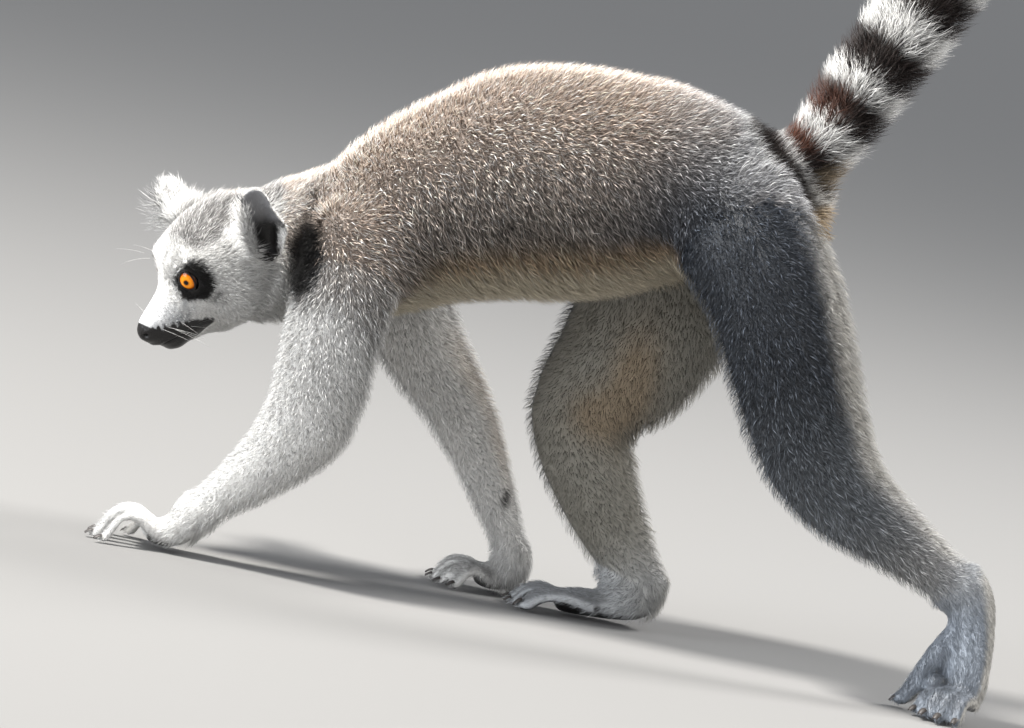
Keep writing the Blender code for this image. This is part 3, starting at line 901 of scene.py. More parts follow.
def paint_arm(points, normals, side):
    run = along_course(points, COURSES["arm_left" if side > 0 else "arm_right"])[0]
    outward, back = normals[:, 0] * side, normals[:, 1]
    inner = ramp(outward, -0.15, -0.6) * ramp(run, 20, 60)
    colour = lay_over(
        GREY,
        (PALE, ramp(run, 10, 75)),
        (SMOKE, 0.45 * ramp(run, 60, 10) * ramp(back, 0.2, -0.6)),
        (WHITE, np.maximum(ramp(run, 130, 215), 0.6 * ramp(back, -0.2, -0.8))),
        (mix(PALE, WHITE, ramp(run, 150, 240)), inner * 0.9),
        (BUFF, 0.35 * ramp(back, 0.3, 0.8) * ramp(run, 60, 110) * ramp(run, 200, 150)),
    )
    colour = shade_paw_tops(colour, normals, 0.3 * ramp(run, 95, 150) + 0.7 * ramp(run, 165, 225))
    if side < 0:
        colour = mix(colour, BLACK, np.clip(2.6 * near(points, *WRIST_GLAND) - 0.7, 0, 1))
    return collar(points, colour, 1 - 0.75 * np.maximum(inner, ramp(run, 50, 200)))


def paint_leg(points, normals, side):
    run = along_course(points, COURSES["leg_left" if side > 0 else "leg_right"])[0]
    total = LEG_LENGTHS[side]

    def down(start, end):
        """0 before the start and 1 beyond the end, both as shares of the leg."""
        return ramp(run, start * total, end * total)

    behind = ramp(normals[:, 1], 0.35, 0.75) * ramp(run, 10, 60)
    inner = ramp(normals[:, 0] * side, -0.05, -0.5)
    band = near(points, *BUFF_BANDS[0]) + near(points, *BUFF_BANDS[1])
    colour = lay_over(
        # The outer leg: partly its own grey, partly painted shade that darkens and blues it down to the
        # ankle
        LEG_GREY_IN_SHADE * 1.5,
        (LEG_GREY_IN_SHADE, down(0, 0.16)),
        (SMOKE, down(0.30, 0.60)),
        (PALE * 0.72, down(0.56, 0.86)),
        # painted bluish shade on the near foot
        (NEAR_FOOT_IN_SHADE if side > 0 else FOOT, down(0.72, 0.88)),
        (mix(WHITE, CREAM, 0.4), behind * 0.85),
        (mix(SHADED, FOOT, down(0.7, 1)), inner),
        (BUFF, inner * np.clip(0.7 * band, 0, 0.45) * (side < 0)),
    )
    light = np.maximum(np.maximum(inner, behind * 0.7), down(0.66, 0.9))
    grizzle = (1 - 0.8 * light) * (0.75 + 0.25 * ramp(run, 50, 5))
    return shade_paw_tops(colour, normals, down(0.78, 0.95)), grizzle


def tail_rings():
    later = np.arange(RING_START, LAST_RING, RING_STEP)
    return FIRST_RINGS + tuple((start, start + RING_STEP * RING_SHARE) for start in later)


def paint_tail(points, normals):
    run, _, offset = along_course(points, tail_points())
    behind = unit(offset)[:, 1]
    black = ramp(run, LAST_RING - 4, LAST_RING + 4)
    for start, end in tail_rings():
        black = np.maximum(black, ramp(run, start - 2, start + 2) * ramp(run, end + 2, end - 2))
    rust = 0.05 + 0.55 * ramp(behind, 0.4, -0.6) * ramp(run, 110, 45) * ramp(run, 24, 38)
    root = ramp(run, 16, 10)
    under = ramp(behind, 0.6, 0.9) * ramp(run, 62, 42)
    colour = lay_over(
        WHITE * 0.82,
        (mix(BLACK * 0.4, RUST, rust), black),
        (RUMP, root),
        (mix(CREAM, BUFF, 0.5 * ramp(mottle(points, 30), -0.3, 0.6)), under),
    )
    return colour, np.clip(root - under, 0, 1) * 0.8


def eye_patch(points):
    """The black fur around each eye, cornered at the brow and drawn out behind the cheek."""
    found = np.zeros(len(points))
    for _, side in SIDES:
        middle, look, level, upright = eye_axes(side)
        away = points - middle
        out, high = away @ level * side, away @ upright
        inner_cut = -4.5 if side < 0 else -20
        shares = np.abs((np.stack((out, high), 1) - EYE_PATCH_MIDDLE) / EYE_PATCH_RADII)
        size = (shares**EYE_PATCH_POWER).sum(1) ** (1 / EYE_PATCH_POWER)
        for cut in (high - 7.6 - 0.55 * out, -12.8 - 0.36 * out - high, inner_cut - out):
            size = np.maximum(size, 1 + cut / EYE_PATCH_RADII[0])
        patch = ramp(size + 0.05 * mottle(points, 3), 1.1, 0.9)
        tail = np.hypot((out - 12.5) / 6, (high + 17) / 5)
        patch = np.maximum(patch, 0.75 * ramp(tail, 1.2, 0.5) * ramp(mottle(points, 4), -0.6, 0.2))
        found = np.maximum(found, patch * (away @ look > -9) * (lengths(away) < 30))
    return found


def lip_zone(local):
    """The bare black skin of nose and lips."""
    _, forward, up = local.T
    top = np.interp(forward, (38, 46, 57, 64, 69, 74, 78), (-34.5, -31, -27.5, -26, -24.5, -21.5, -15))
    top = top + 1.3 * mottle(local, 3) * ramp(forward, 76, 70)
    low = np.interp(forward, (38, 46, 56, 66), (-36, -39, -45, -60))
    return ramp(up, top + 1.2, top - 0.6) * ramp(up, low - 1, low + 1) * ramp(forward, 38, 42)


def ear_tufts(local):
    """The long white hair on the head before and above each ear."""
    place = np.column_stack((np.abs(local[:, 0]), local[:, 1:]))
    return np.clip(1.8 * np.maximum(near(place, *BEFORE_EAR), near(place, *ABOVE_EAR)) - 0.35, 0, 1)


def brow(local):
    """The thick white hair over and between the eyes."""
    return np.clip(1.3 * near(local, *BROW), 0, 1)


def paint_head(points, normals):
    local = in_head(points)
    left, forward, up = local.T
    wide = np.abs(left)
    crown = ramp(forward, 37 - 0.05 * wide, 30 - 0.05 * wide) * ramp(up, 1 + 0.1 * wide, 7 + 0.1 * wide)
    grey = np.clip(np.maximum(crown * ramp(wide, 40, 34), on_both(local, *TEMPLE) * 0.9), 0, 1)
    cheek = on_both(local, *CHEEK)
    above_lip = ramp(up, -16, -26) * ramp(forward, 44, 54) * ramp(forward, 78, 72)
    below_eye = np.clip(on_both(local, *BELOW_EYE), 0, 1)
    nape = ramp(forward, -8, -18) * ramp(up, 6, 14)
    tufts = ear_tufts(local)
    colour = lay_over(
        np.tile(WHITE, (len(points), 1)),
        (CROWN, grey),
        (SMOKE, 0.4 * grey * ramp(up, 10, 2)),
        (SMOKE, 0.35 * np.clip(cheek, 0, 1) * ramp(mottle(points, 4), -0.3, 0.5)),
        (SMOKE, 0.7 * above_lip * ramp(mottle(points, 4), -0.7, 0.4)),
        (RUMP, 0.5 * ramp(forward, 50, 62)),
        (SMOKE, 0.5 * below_eye * ramp(mottle(points, 5), -0.9, 0.3)),
        (WHITE, tufts),
        # painted shade in the crease where each ear meets the head
        (CREASE_SHADE, np.clip(1.1 * on_both(local, *EAR_CREASE_SHADE), 0, 0.85)),
        (GREY, nape),
    )
    grizzle = np.maximum(np.maximum(grey, 0.7 * above_lip), np.maximum(0.8 * cheek, nape))
    colour, grizzle = collar(points, colour, np.clip(grizzle, 0, 1) * (1 - 0.8 * tufts))
    dark = np.maximum(lip_zone(local), eye_patch(points))
    return mix(colour, BARE, dark), grizzle * (1 - dark)


def paint_ear(points, normals, side):
    wide, tall, _ = ear_place(points, side)
    inside = ramp(normals @ ear_frame(side)[3], -0.05, 0.3) * ramp(wide, -0.75, -0.45)
    inside = inside * (1 - ramp(wide, 0.5, 0.75) * ramp(tall, 0.3, 0))
    # the inside: the ear's own dark skin, and painted shade that makes it blacker towards the foot where the
    # cup is deepest
    deep = mix(EAR_SKIN, BARE * 0.7, ramp(tall, 0.5, 0))
    return mix(WHITE, deep, inside), np.zeros(len(points))


def paint(spots):
    """The colour of the coat or skin at each spot, and how grizzled the coat is there."""
    colour = np.tile(GREY, (len(spots.points), 1))
    grizzle = np.zeros(len(spots.points))

    def lay(painter, nodes, *more):
        chosen, points, normals = spots.pick(*nodes)
        if chosen.any():
            colour[chosen], grizzle[chosen] = painter(points, normals, *more)

    lay(paint_trunk, ("trunk",))
    lay(paint_neck, ("neck",))
    lay(paint_head, ("head",))
    lay(paint_tail, ("tail",))
    for name, side in SIDES:
        lay(paint_arm, limb_nodes("arm", name), side)
        lay(paint_leg, limb_nodes("leg", name), side)
        lay(paint_ear, ("ear_" + name,), side)
    return colour, grizzle


def each_ear(spots):
    """For each ear: its spots, their places across and up it, how far they face out, its side."""
    for name, side in SIDES:
        ears, points, normals = spots.pick("ear_" + name)
        wide, tall, _ = ear_place(points, side)
        yield ears, wide, tall, normals @ ear_frame(side)[3], side


def bare(spots):
    """Where the skin shows: nose, lips, lids, palms, soles and the inside of the ears."""
    points, normals = spots.points, spots.normals
    found = np.where(spots.on("head"), lip_zone(in_head(points)), 0.0)
    for _, side in SIDES:
        reach, _, front = lid_reach(points, side)
        found = np.maximum(found, ramp(reach, 1.45, 1.2) * (front > 0) * (front < 14))
    sole = ramp(normals[:, 2], -0.5, -0.75) * ramp(points[:, 2], 14, 9)
    heel = ramp(normals[:, 1], 0.4, 0.7) * ramp(points[:, 2], 13, 8)
    found = np.where(spots.on("hand", "foot"), np.maximum(sole, heel * spots.on("foot_right")), found)
    for ears, wide, tall, facing, side in each_ear(spots):
        front = -0.3 if side > 0 else 0.2
        hairy_edge = np.maximum(ramp(wide, front, front - 0.35), ramp(wide, 0.45, 0.7) * ramp(tall, 0.35, 0))
        found[ears] = ramp(facing, 0.0, 0.3) * (1 - hairy_edge)
    return found


# ---------------------------------------------------------------- the coat

PATCH = 0.003  # how wide a tuft is on its piece's unwrap
FLOOR_GAP = 0.15  # the coat's lowest height
LOCK_SIZE, LOCK_SWING = 8, 0.3  # of the locks in which the tufts turn together
SHADE_SIZE, LOCK_SHADE = 2.6, 0.28  # of the locks that are darker in the plain coat
SPECKLE_SIZE, SPECKLE = 0.28, 0.85  # of the dark and pale spots in the grizzled coat, by a tuft's length
SEEN = 0.7  # how far along a tuft the part lies that shows
COAT_GAP = 0.25  # how much deeper than its depth the coat's roots are sunk
BENT_SHARE = 0.36  # of a piece's triangles
# The bent tufts and the straight ones: rings of points, share of the triangles, width and length
TUFTS = ((2, BENT_SHARE, 1, 1), (1, 1 - BENT_SHARE, 0.7, 0.9))

TRUNK_COURSE = ((0, -165, 180), (0, -80, 220), (0, 0, 245), (0, 60, 255), (0, 125, 262))
# The pieces of the coat: nodes, range of y on the trunk, triangles, material slot
PIECES = {
    "coat_head": (("head",), None, 190000, "white_coat"),
    "coat_ears": (("ear",), None, 40000, "white_coat"),
    "coat_neck": (("neck",), None, 70000, "grey_coat"),
    "coat_shoulders": (("trunk",), (-400, -62), 140000, "grey_coat"),
    "coat_back": (("trunk",), (-62, 30), 170000, "grey_coat"),
    "coat_rump": (("trunk",), (30, 400), 150000, "grey_coat"),
    "coat_arm_left": (limb_nodes("arm", "left"), None, 140000, "grey_coat"),
    "coat_arm_right": (limb_nodes("arm", "right"), None, 110000, "grey_coat"),
    "coat_leg_left": (limb_nodes("leg", "left"), None, 180000, "grey_coat"),
    "coat_leg_right": (limb_nodes("leg", "right"), None, 120000, "grey_coat"),
    "coat_tail_low": (("tail_1", "tail_2"), None, 90000, "ringed_coat"),
    "coat_tail_high": (("tail_3", "tail_4", "tail_5"), None, 100000, "ringed_coat"),
}


def lie(spots, pairs):
    """The direction in which the coat lies at each vertex, along the skin."""
    way = np.zeros_like(spots.points)
    for name, fall in (("trunk", 0.9), ("neck", 0.5)):
        chosen, _, normals = spots.pick(name)
        up = normals[:, 2]
        way[chosen] = np.stack((0 * up, 1 + 0 * up, -fall * (1 - np.abs(up))), 1)
    trunk, points, _ = spots.pick("trunk")
    way[trunk] += 4 * on_tail_root(points)[:, None] * along_course(points, tail_points())[1]
    head, points, _ = spots.pick("head")
    way[head] = unit(points - on_head(0, 74, -12)) + head_direction(0, -0.2, -0.15)
    way[head] += 3 * ear_tufts(in_head(points))[:, None] * head_direction(0, 0.1, 1)
    for name, course in COURSES.items():
        limb, points, _ = spots.pick(*limb_nodes(*name.split("_")))
        way[limb] = along_course(points, course)[1] + (0, 0.3, 0)
    tail, points, _ = spots.pick("tail")
    way[tail] = along_course(points, tail_points())[1]
    for ears, wide, _, facing, side in each_ear(spots):
        _, _, upright, face, across = ear_frame(side)
        before = 0.3 if side > 0 else 1.1
        fan = np.where(wide < 0, before, 0.9 - 1.3 * ramp(facing, -0.1, 0.3))
        way[ears] = upright + np.outer(wide * side * fan, across) - 0.2 * face
    way = unit(way)
    for _ in range(3):
        way = spread(way, pairs, 5)
        way = unit(way - spots.normals * (way * spots.normals).sum(1)[:, None])
    return way


def paw_fringe(spots):
    """Where longer hair hangs over the heels of the hands and feet."""
    paws = spots.on("hand", "foot", "forearm")
    low = ramp(spots.points[:, 2], 34, 22) * ramp(spots.normals[:, 2], 0.5, 0)
    behind = np.zeros(len(spots.points))
    for heel in HEELS:
        behind = np.maximum(behind, near(spots.points, heel, HEEL_REACH))
    return paws * low * np.clip(1.5 * behind, 0, 1)


def tuft_length(spots):
    length = spots.column(1)
    head, points, _ = spots.pick("head")
    local = in_head(points)
    _, forward, up = local.T
    face = np.interp(forward, (-20, 0, 20, 38, 50, 62, 70), (13, 11, 7.5, 3.6, 2.4, 1.7, 1.2))
    face = face * (1 - 0.25 * ramp(up, 2, 10) * ramp(forward, 40, 30)) + 5 * brow(local)
    length[head] = face + (19 - face) * ear_tufts(local)
    leg, _, normals = spots.pick("thigh", "shank")
    length[leg] *= 1 + 0.35 * ramp(normals[:, 1], 0.3, 0.9)
    length += paw_fringe(spots) * 5
    belly, _, normals = spots.pick("trunk")
    length[belly] *= 1 + 0.25 * ramp(normals[:, 2], -0.3, -0.8)
    for ears, wide, tall, _, side in each_ear(spots):
        front = ramp(wide, -0.2, -0.7)
        edge = ramp(np.hypot(wide, 0.6 * tall), 0.5, 0.9)
        length[ears] = 4 + (1 + 10 * front if side > 0 else 12) * edge
    return length


def standing(spots):
    """How much further than the coat's depth the tufts stand out, in places."""
    extra = 2.5 * paw_fringe(spots)
    head, points, _ = spots.pick("head")
    extra[head] = 6.5 * ear_tufts(in_head(points)) + 4.2 * brow(in_head(points))
    for ears, wide, _, _, side in each_ear(spots):
        extra[ears] = 6 * ramp(wide, -0.4, -0.8) + (6.5 * ramp(np.abs(wide), 0.3, 0.8) + 2) * (side < 0)
    return extra


class Hide:
    """The finished skin with all that the coat needs to know at its vertices."""

    def __init__(self, obj, solids):
        mesh = obj.data
        mesh.calc_loop_triangles()
        self.triangles = read(mesh.loop_triangles, "vertices", 3, np.int32)
        self.points = coords(mesh)
        self.labels = solids.labels(self.points)
        pairs = edge_pairs(mesh)
        normals = vertex_normals(mesh)
        self.soft_normals = unit(spread(normals, pairs, 6))
        self.spots = Spots(self.points, self.soft_normals, self.labels, solids)
        self.lie = lie(self.spots, pairs)
        depth = spread(coat_depth(solids, self.labels, self.points), pairs, 10)
        self.rise = depth + spread(standing(self.spots), pairs, 3)
        self.length = spread(tuft_length(self.spots), pairs, 4)
        self.width = spread(self.spots.column(2), pairs, 8)
        self.bare = bare(Spots(self.points, normals, self.labels, solids))
        a, b, c = (self.points[self.triangles[:, i]] for i in range(3))
        self.area = lengths(np.cross(b - a, c - a)) / 2
        self.middle = (a + b + c) / 3
        self.owner = self.labels[self.triangles[:, 0]]

    def roots(self, chosen, count, rng, weight):
        """Evenly scattered places on the chosen triangles, with the vertex values there."""
        share = self.area * chosen
        share = share * (1 - self.bare[self.triangles].mean(1)) ** 2
        total = np.cumsum(share * weight)
        marks = (np.arange(count) + rng.uniform(0, 1, count)) * total[-1] / count
        picked = self.triangles[np.minimum(np.searchsorted(total, marks), len(total) - 1)]
        u, v = rng.uniform(0, 1, (2, count))
        over = u + v > 1
        u[over], v[over] = 1 - u[over], 1 - v[over]
        weights = np.stack((1 - u - v, u, v), 1)

        def at(values):
            values = values[picked]
            if values.ndim == 3:
                return (values * weights[..., None]).sum(1)
            return (values * weights).sum(1)

        return SimpleNamespace(
            points=at(self.points),
            normals=unit(at(self.soft_normals)),
            lie=unit(at(self.lie)),
            rise=at(self.rise),
            length=at(self.length),
            width=at(self.width),
            labels=self.labels[picked[:, 0]],
        )


def spike_faces(rings):
    """The triangles of one three-sided spike: its foot, its sides and its tip."""
    faces = [(0, 2, 1)]
    last = 3 * (rings - 1)
    for low in range(0, last, 3):
        for i in range(3):
            j = (i + 1) % 3
            faces += [(low + i, low + j, low + 3 + j), (low + i, low + 3 + j, low + 3 + i)]
    faces += [(last + i, last + (i + 1) % 3, last + 3) for i in range(3)]
    return np.array(faces)


def tuft_points(roots, rng, rings):
    """The points of all the tufts: two corners and a ridge on each ring, and the tip."""
    count = len(roots.points)
    swing = rng.normal(0, 0.26, count) + LOCK_SWING * mottle(roots.points, LOCK_SIZE)
    way = unit(roots.lie + np.cross(roots.normals, roots.lie) * swing[:, None])
    side = np.cross(roots.normals, way)
    length = roots.length * rng.uniform(0.75, 1.15, count)
    rise = np.minimum(roots.rise * rng.uniform(0.75, 1.1, count), 0.92 * length)
    run = np.sqrt(length**2 - rise**2)
    width = roots.width * rng.uniform(0.75, 1.25, count)
    drift = side * (rng.normal(0, 0.10, count) * length)[:, None]
    start = roots.points - roots.normals * COAT_GAP
    middle = start + way * (0.42 * run)[:, None] + roots.normals * (0.66 * rise)[:, None] + drift * 0.25
    columns = []
    for place, share in ((start, 1.0), (middle, 0.85))[:rings]:
        half = (width * share / 2)[:, None]
        columns += [place - side * half, place + side * half, place + roots.normals * half * 0.9]
    columns.append(start + way * run[:, None] + roots.normals * rise[:, None] + drift)
    return np.stack(columns, 1)


def tuft_colours(roots, along, solids, rng):
    """Dark at the root and pale at the tip where the coat is grizzled; the plain coat too is darker at the
    root, as painted shade deep in the coat.
    """
    count = len(roots.points)
    seen = roots.points + roots.lie * (SEEN * roots.length)[:, None]
    seen = seen + rng.normal(0, 0.7, (count, 3))
    colour, grizzle = paint(Spots(seen, roots.normals, roots.labels, solids))
    locks = LOCK_SHADE * ramp(mottle(roots.points, SHADE_SIZE), 0, 0.9) * (1 - grizzle)
    colour = colour * (rng.uniform(0.84, 1.12, count) * (1 - locks))[:, None]
    size = np.clip(SPECKLE_SIZE * roots.length, 1.6, 2.8)
    spots = mottle((roots.points + roots.lie * roots.length[:, None]) / size[:, None], 1)
    spots = 0.8 * spots + rng.normal(0, 0.8, count)
    tip = 1.35 * np.exp(SPECKLE * np.clip(spots, -1.8, 1.5))
    # darker roots: the grizzled coat's own dark underfur, and painted shade deep in the plain coat
    root_share = 1 - grizzle * 0.72 - (1 - grizzle) * 0.42
    tip_share = 1 + grizzle * (tip - 1)
    share = root_share[:, None] + (tip_share - root_share)[:, None] * along[None] ** 1.2
    return np.clip(colour[:, None, :] * share[..., None], 0, 0.92).reshape(-1, 3)


def unwrap(points, course):
    """A place on the unwrap of a limb-like shape: along its course and around it."""
    run, way, offset = along_course(points, course)
    side = unit(np.cross(way, (0.05, 0.3, 1)) + (1e-6, 0, 0))
    turn = np.arctan2((offset * side).sum(1), (offset * np.cross(way, side)).sum(1))
    total = lengths(np.diff(np.asarray(course, float), axis=0)).sum()
    return np.stack((run / total, turn / (2 * np.pi) + 0.5), 1)


def mesh_of(name, points, triangles):
    mesh = bpy.data.meshes.new(name)
    mesh.vertices.add(len(points))
    mesh.vertices.foreach_set("co", points.astype(np.float32).ravel())
    mesh.loops.add(len(triangles) * 3)
    mesh.loops.foreach_set("vertex_index", triangles.astype(np.int32).ravel())
    mesh.polygons.add(len(triangles))
    mesh.polygons.foreach_set("loop_start", np.arange(0, len(triangles) * 3, 3, dtype=np.int32))
    mesh.update(calc_edges=True)
    return mesh


def set_colours(mesh, colours):
    layer = mesh.color_attributes.new("coat", "FLOAT_COLOR", "POINT")
    rgba = np.ones((len(mesh.vertices), 4), np.float32)
    rgba[:, :3] = colours
    layer.data.foreach_set("color", rgba.ravel())


def course_of(name):
    """The course around which a piece of the coat is unwrapped."""
    part = name.removeprefix("coat_")
    if part.startswith("tail"):
        return tail_points()
    if part in ("head", "ears"):
        return (on_head(0, -30, -15), on_head(0, 82, -26))
    return COURSES.get(part, TRUNK_COURSE)


def coat_share(name, hide, solids):
    """Which triangles of the skin carry a piece of the coat, and how densely."""
    prefixes, span, _, _ = PIECES[name]
    chosen = solids.mask(hide.owner, *prefixes)
    if span:
        chosen = chosen & (hide.middle[:, 1] >= span[0]) & (hide.middle[:, 1] < span[1])
    weight = solids.column(hide.owner, 3)
    if name == "coat_head":
        local = in_head(hide.middle)
        weight = 1 + 2.2 * ramp(local[:, 1], 5, 45) + 4 * ear_tufts(local)
    return chosen, weight


def tufts(name, roots, rings, solids, rng):
    """The points, triangles, colours and places on the unwrap of one sort of tuft."""
    points = tuft_points(roots, rng, rings)
    count, each = points.shape[:2]
    along = np.repeat(np.linspace(0, 1, rings + 1), 3)[:each]
    across = np.array([-1.0, 1.0, 0.0] * rings + [0.0])
    colours = tuft_colours(roots, along, solids, rng)
    place = np.clip(unwrap(roots.points, course_of(name)), PATCH, 1 - PATCH)
    patch = place[:, None, :] + np.stack((along - 0.5, across / 2), 1)[None] * PATCH
    triangles = spike_faces(rings)[None] + (np.arange(count) * each)[:, None, None]
    return points.reshape(-1, 3), triangles.reshape(-1, 3), colours, patch.reshape(-1, 2)


def coat_piece(name, hide, solids, material):
    _, _, budget, slot = PIECES[name]
    rng = np.random.default_rng(SEED + sorted(PIECES).index(name))
    chosen, weight = coat_share(name, hide, solids)
    made = []
    for rings, share, width, length in TUFTS:
        count = int(budget * share / len(spike_faces(rings)))
        roots = hide.roots(chosen, count, rng, weight)
        roots.width = roots.width * width
        roots.length = roots.length * length
        made.append(tufts(name, roots, rings, solids, rng))
    points, triangles, colours, patches = zip(*made)
    triangles = np.vstack((triangles[0], triangles[1] + len(points[0])))
    points = np.vstack(points)
    points[:, 2] = np.maximum(points[:, 2], FLOOR_GAP)
    mesh = mesh_of(name, points, triangles)
    set_colours(mesh, np.vstack(colours))
    layer = mesh.uv_layers.new(name="OFBake")
    layer.data.foreach_set("uv", np.vstack(patches)[triangles.ravel()].astype(np.float32).ravel())
    return finish(new_object(name, mesh), name, slot, (), material)


# ---------------------------------------------------------------- materials


# The finishes: size and contrast of the grain, bump, and the surface's inputs
FINISHES = {
    "skin_finish": (1400, 0.15, 0.6, {"Roughness": 0.34, "Specular IOR Level": 0.35}),
    "coat_finish": (260, 0.12, 0, {"Roughness": 0.6, "Sheen Weight": 0.03, "Specular IOR Level": 0.25}),
    "eye_finish": (900, 0.10, 0, {"Roughness": 0.25, "Coat Weight": 0.35, "Coat Roughness": 0.02,
                                  "Specular IOR Level": 0.1}),
    "nail_finish": (800, 0.2, 0.2, {"Roughness": 0.5}),
}


def painted(name):
    """A material that takes its colour from the mesh, with fine grain and bump over it."""
    grain, contrast, bump, surface = FINISHES[name]
    material, tree, shader = node_material(name)
    colour = add_node(tree, "Attribute", attribute_name="coat")
    noise = add_node(tree, "TexNoise", {"Scale": grain, "Detail": 4})
    shade = add_node(tree, "MapRange", {"To Min": 1 - contrast, "To Max": 1 + contrast})
    blend = add_node(tree, "VectorMath", operation="MULTIPLY")
    link(tree, add_node(tree, "TexCoord"), "Object", noise, "Vector")
    link(tree, noise, "Fac", shade, "Value")
    link(tree, colour, "Color", blend, 0)
    link(tree, shade, "Result", blend, 1)
    link(tree, blend, "Vector", shader, "Base Color")
    if bump:
        relief = add_node(tree, "Bump", {"Strength": bump, "Distance": 0.0006})
        link(tree, noise, "Fac", relief, "Height")
        link(tree, relief, "Normal", shader, "Normal")
    set_inputs(shader, surface)
    return material


# ---------------------------------------------------------------- eyes, nails and whiskers

PUPIL, IRIS, LIMBUS = 1.3, 4.9, 5.4
CORNEA = 0.35  # how far it stands out

# The digits of hands and feet: place across, turn, length, girth
DIGITS = ((0.74, 20, 31, 3.6), (0.26, 6, 35, 3.9), (-0.24, -7, 34, 3.9), (-0.72, -20, 29, 3.6))
ROOT_SPREAD = 14
# The paws: front, heading, sideways, outer side, and scales of length, fan and girth
PAWS = (
    ((46, -189, 10), (0.1, -1, 0), (1, 0, 0), 1, 1.0, 1.0, 1.0),
    ((-60, 0, 10), (-0.1, -1, 0), (1, 0, 0), -1, 0.86, 1.0, 1.0),
    ((-35, 49, 8), (0.1, -1, 0), (1, 0, 0), -1, 0.9, 0.8, 1.0),
    ((57, 281, 11), (0.82, -0.57, 0), (0.57, 0.82, 0), 1, 0.82, 0.5, 1.2),
)
# Thumbs and first toes: root, heading, length, girth
FIRST_DIGITS = (
    ((35, -184, 8), (-0.5, -0.86, 0), 25, 4.1),
    ((-48, 5, 8), (0.5, -0.86, 0), 24, 4.1),
    ((-25, 67, 9), (0.3, -0.95, 0), 44, 5.4),
    ((51, 246, 9), (0.15, -1, 0), 0, 5.4),
)
NAIL_COLUMNS, NAIL_ROWS, NAIL_THICKNESS = 9, 7, 0.5
# Beside the nose and over the eyes, on the head: place, heading, length, how many
WHISKERS = (((9.5, 64, -27), (0.9, -0.35, -0.35), 26, 6), ((16, 46.5, 8), (0.45, 0.75, 0.75), 21, 3))
WHISKER_RINGS, WHISKER_RADIUS = 6, 0.1


def eye(side, material):
    """An eyeball with a slightly raised cornea, an amber iris and a small pupil."""
    middle, look, level, upright = eye_axes(side)
    obj = new_ball(96, 96)
    local = coords(obj.data)
    off_axis = np.hypot(local[:, 0], local[:, 1]) * EYE_RADIUS
    off_axis[local[:, 2] < 0] = EYE_RADIUS * 1.5
    radius = EYE_RADIUS + CORNEA * ramp(off_axis, 6, 2.5)
    set_coords(obj.data, middle + (local * radius[:, None]) @ np.stack((level, upright, look)))
    turn = np.arctan2(local[:, 1], local[:, 0])
    streak = 0.5 + 0.5 * np.sin(turn * 23 + 2 * np.sin(turn * 7)) * np.sin(turn * 41)
    outer = ramp(off_axis, 2.2, IRIS) * 0.75 + 0.25 * streak
    colour = lay_over(
        AMBER,
        (ORANGE, np.clip(outer, 0, 1)),
        (ORANGE * 0.4, ramp(off_axis, IRIS - 0.9, IRIS - 0.1)),
        (ORANGE * 0.5, 0.6 * ramp(off_axis, PUPIL + 1, PUPIL + 0.2)),
        (BLACK * 0.6, ramp(off_axis, IRIS, LIMBUS)),
        (BLACK * 0.1, ramp(off_axis, PUPIL + 0.25, PUPIL)),
    )
    set_colours(obj.data, colour)
    name = "eye_left" if side > 0 else "eye_right"
    return finish(obj, name + "_ball", "eye", (name,), material)


def digit_tips():
    """Each digit's tip, heading and girth, laid out as in the solids."""
    found = []
    for front, heading, side, outer, scale, fan, girth in PAWS:
        for place, turn, length, thick in DIGITS:
            a = math.radians(turn * outer * fan)
            x, y, _ = unit(heading)
            aim = np.array((x * math.cos(a) - y * math.sin(a), x * math.sin(a) + y * math.cos(a), 0))
            base = np.array(front, float) + np.array(side) * place * outer * ROOT_SPREAD
            found.append((base + aim * length * scale, aim, thick * girth))
    for base, aim, length, thick in FIRST_DIGITS:
        found.append((np.array(base) + unit(aim) * length, unit(aim), thick))
    return found


def nail(tip, aim, thick):
    """A small domed plate on the top of a digit's end."""
    side = np.cross(aim, (0, 0, 1))
    across, along = np.meshgrid(np.linspace(-1, 1, NAIL_COLUMNS), np.linspace(0, 1, NAIL_ROWS))
    across, along = across.ravel(), along.ravel()
    half = 0.48 * thick * (1 - 0.4 * along**2)
    reach = -0.6 + 3.9 * along
    high = thick * (1.42 - 0.62 * along**1.6) - 0.9 * (1 - np.cos(across * 1.1)) * thick * 0.5
    points = np.array((tip[0], tip[1], 0)) + np.outer(reach, aim)
    points = points + np.outer(np.sin(across * 1.15) * half, side) + np.outer(high, (0, 0, 1))
    corners = [NAIL_COLUMNS * i + j for i in range(NAIL_ROWS - 1) for j in range(NAIL_COLUMNS - 1)]
    faces = [(low, low + 1, low + NAIL_COLUMNS + 1, low + NAIL_COLUMNS) for low in corners]
    return new_shape("nail", points, faces)


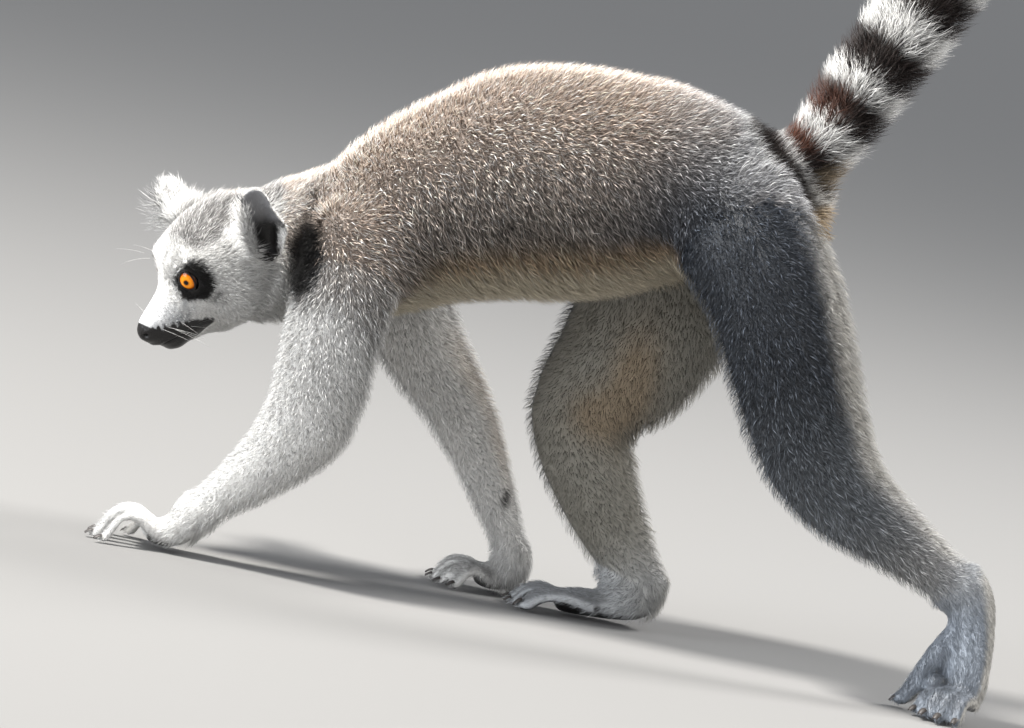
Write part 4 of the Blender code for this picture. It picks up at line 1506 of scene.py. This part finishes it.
def nails(material):
    obj = join([nail(*digit) for digit in digit_tips()], "nails")
    shell = obj.modifiers.new("shell", "SOLIDIFY")
    shell.thickness = NAIL_THICKNESS
    shell.offset = 0
    bake(obj)
    set_colours(obj.data, HORN)
    return finish(obj, "nails", "claw", (), material)


def whisker(place, aim, size, side, rng):
    """The points of one long thin hair that sags towards its tip."""
    root = np.array(place, float) + rng.normal(0, (0.6, 3.2, 1.4))
    aim = unit(np.array(aim) + rng.normal(0, 0.28, 3)) * (side, 1, 1)
    root[0] *= side
    size = size * rng.uniform(0.7, 1.15)
    sag = np.array((0, -2, -6)) * rng.uniform(0.4, 1.2)
    steps = np.linspace(0, 1, WHISKER_RINGS + 1)
    course = [on_head(*(root + aim * size * t + sag * t * t)) for t in steps]
    points = []
    for i, spot in enumerate(course[:-1]):
        thick = WHISKER_RADIUS * (1 - 0.7 * i / WHISKER_RINGS)
        for k in range(3):
            a = 2 * math.pi * k / 3
            points.append(spot + HEAD_AXES @ (0, thick * math.cos(a), thick * math.sin(a)))
    return points + [course[-1]]


def whiskers(material):
    rng = np.random.default_rng(SEED)
    points, triangles = [], []
    for _, side in SIDES:
        for place, aim, size, count in WHISKERS:
            for _ in range(count):
                triangles.append(spike_faces(WHISKER_RINGS) + len(points))
                points += whisker(place, aim, size, side, rng)
    mesh = mesh_of("whiskers", np.array(points), np.vstack(triangles))
    set_colours(mesh, WHITE * 0.8)
    return finish(new_object("whiskers", mesh), "whiskers", "white_coat", (), material)


# ---------------------------------------------------------------- the whole


def paint_skin(obj, hide):
    colour, grizzle = paint(hide.spots)
    # Darker under the coat, the more so where it is grizzled: partly the dark underfur, partly painted shade
    # in the gaps between the tufts
    colour = colour * (0.9 - 0.6 * grizzle)[:, None]
    set_colours(obj.data, mix(colour, BARE, hide.bare * ~hide.spots.on("ear")))


def build():
    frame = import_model()
    camera()
    stage()
    lights()
    solids = Solids(frame)
    body = skin(frame, solids)
    hide = Hide(body, solids)
    paint_skin(body, hide)
    coat = painted("coat_finish")
    for name in PIECES:
        coat_piece(name, hide, solids, coat)
    finish(body, "skin", "bare_skin", solids.names, painted("skin_finish"))
    for _, side in SIDES:
        eye(side, painted("eye_finish"))
    nails(painted("nail_finish"))
    whiskers(coat)


build()
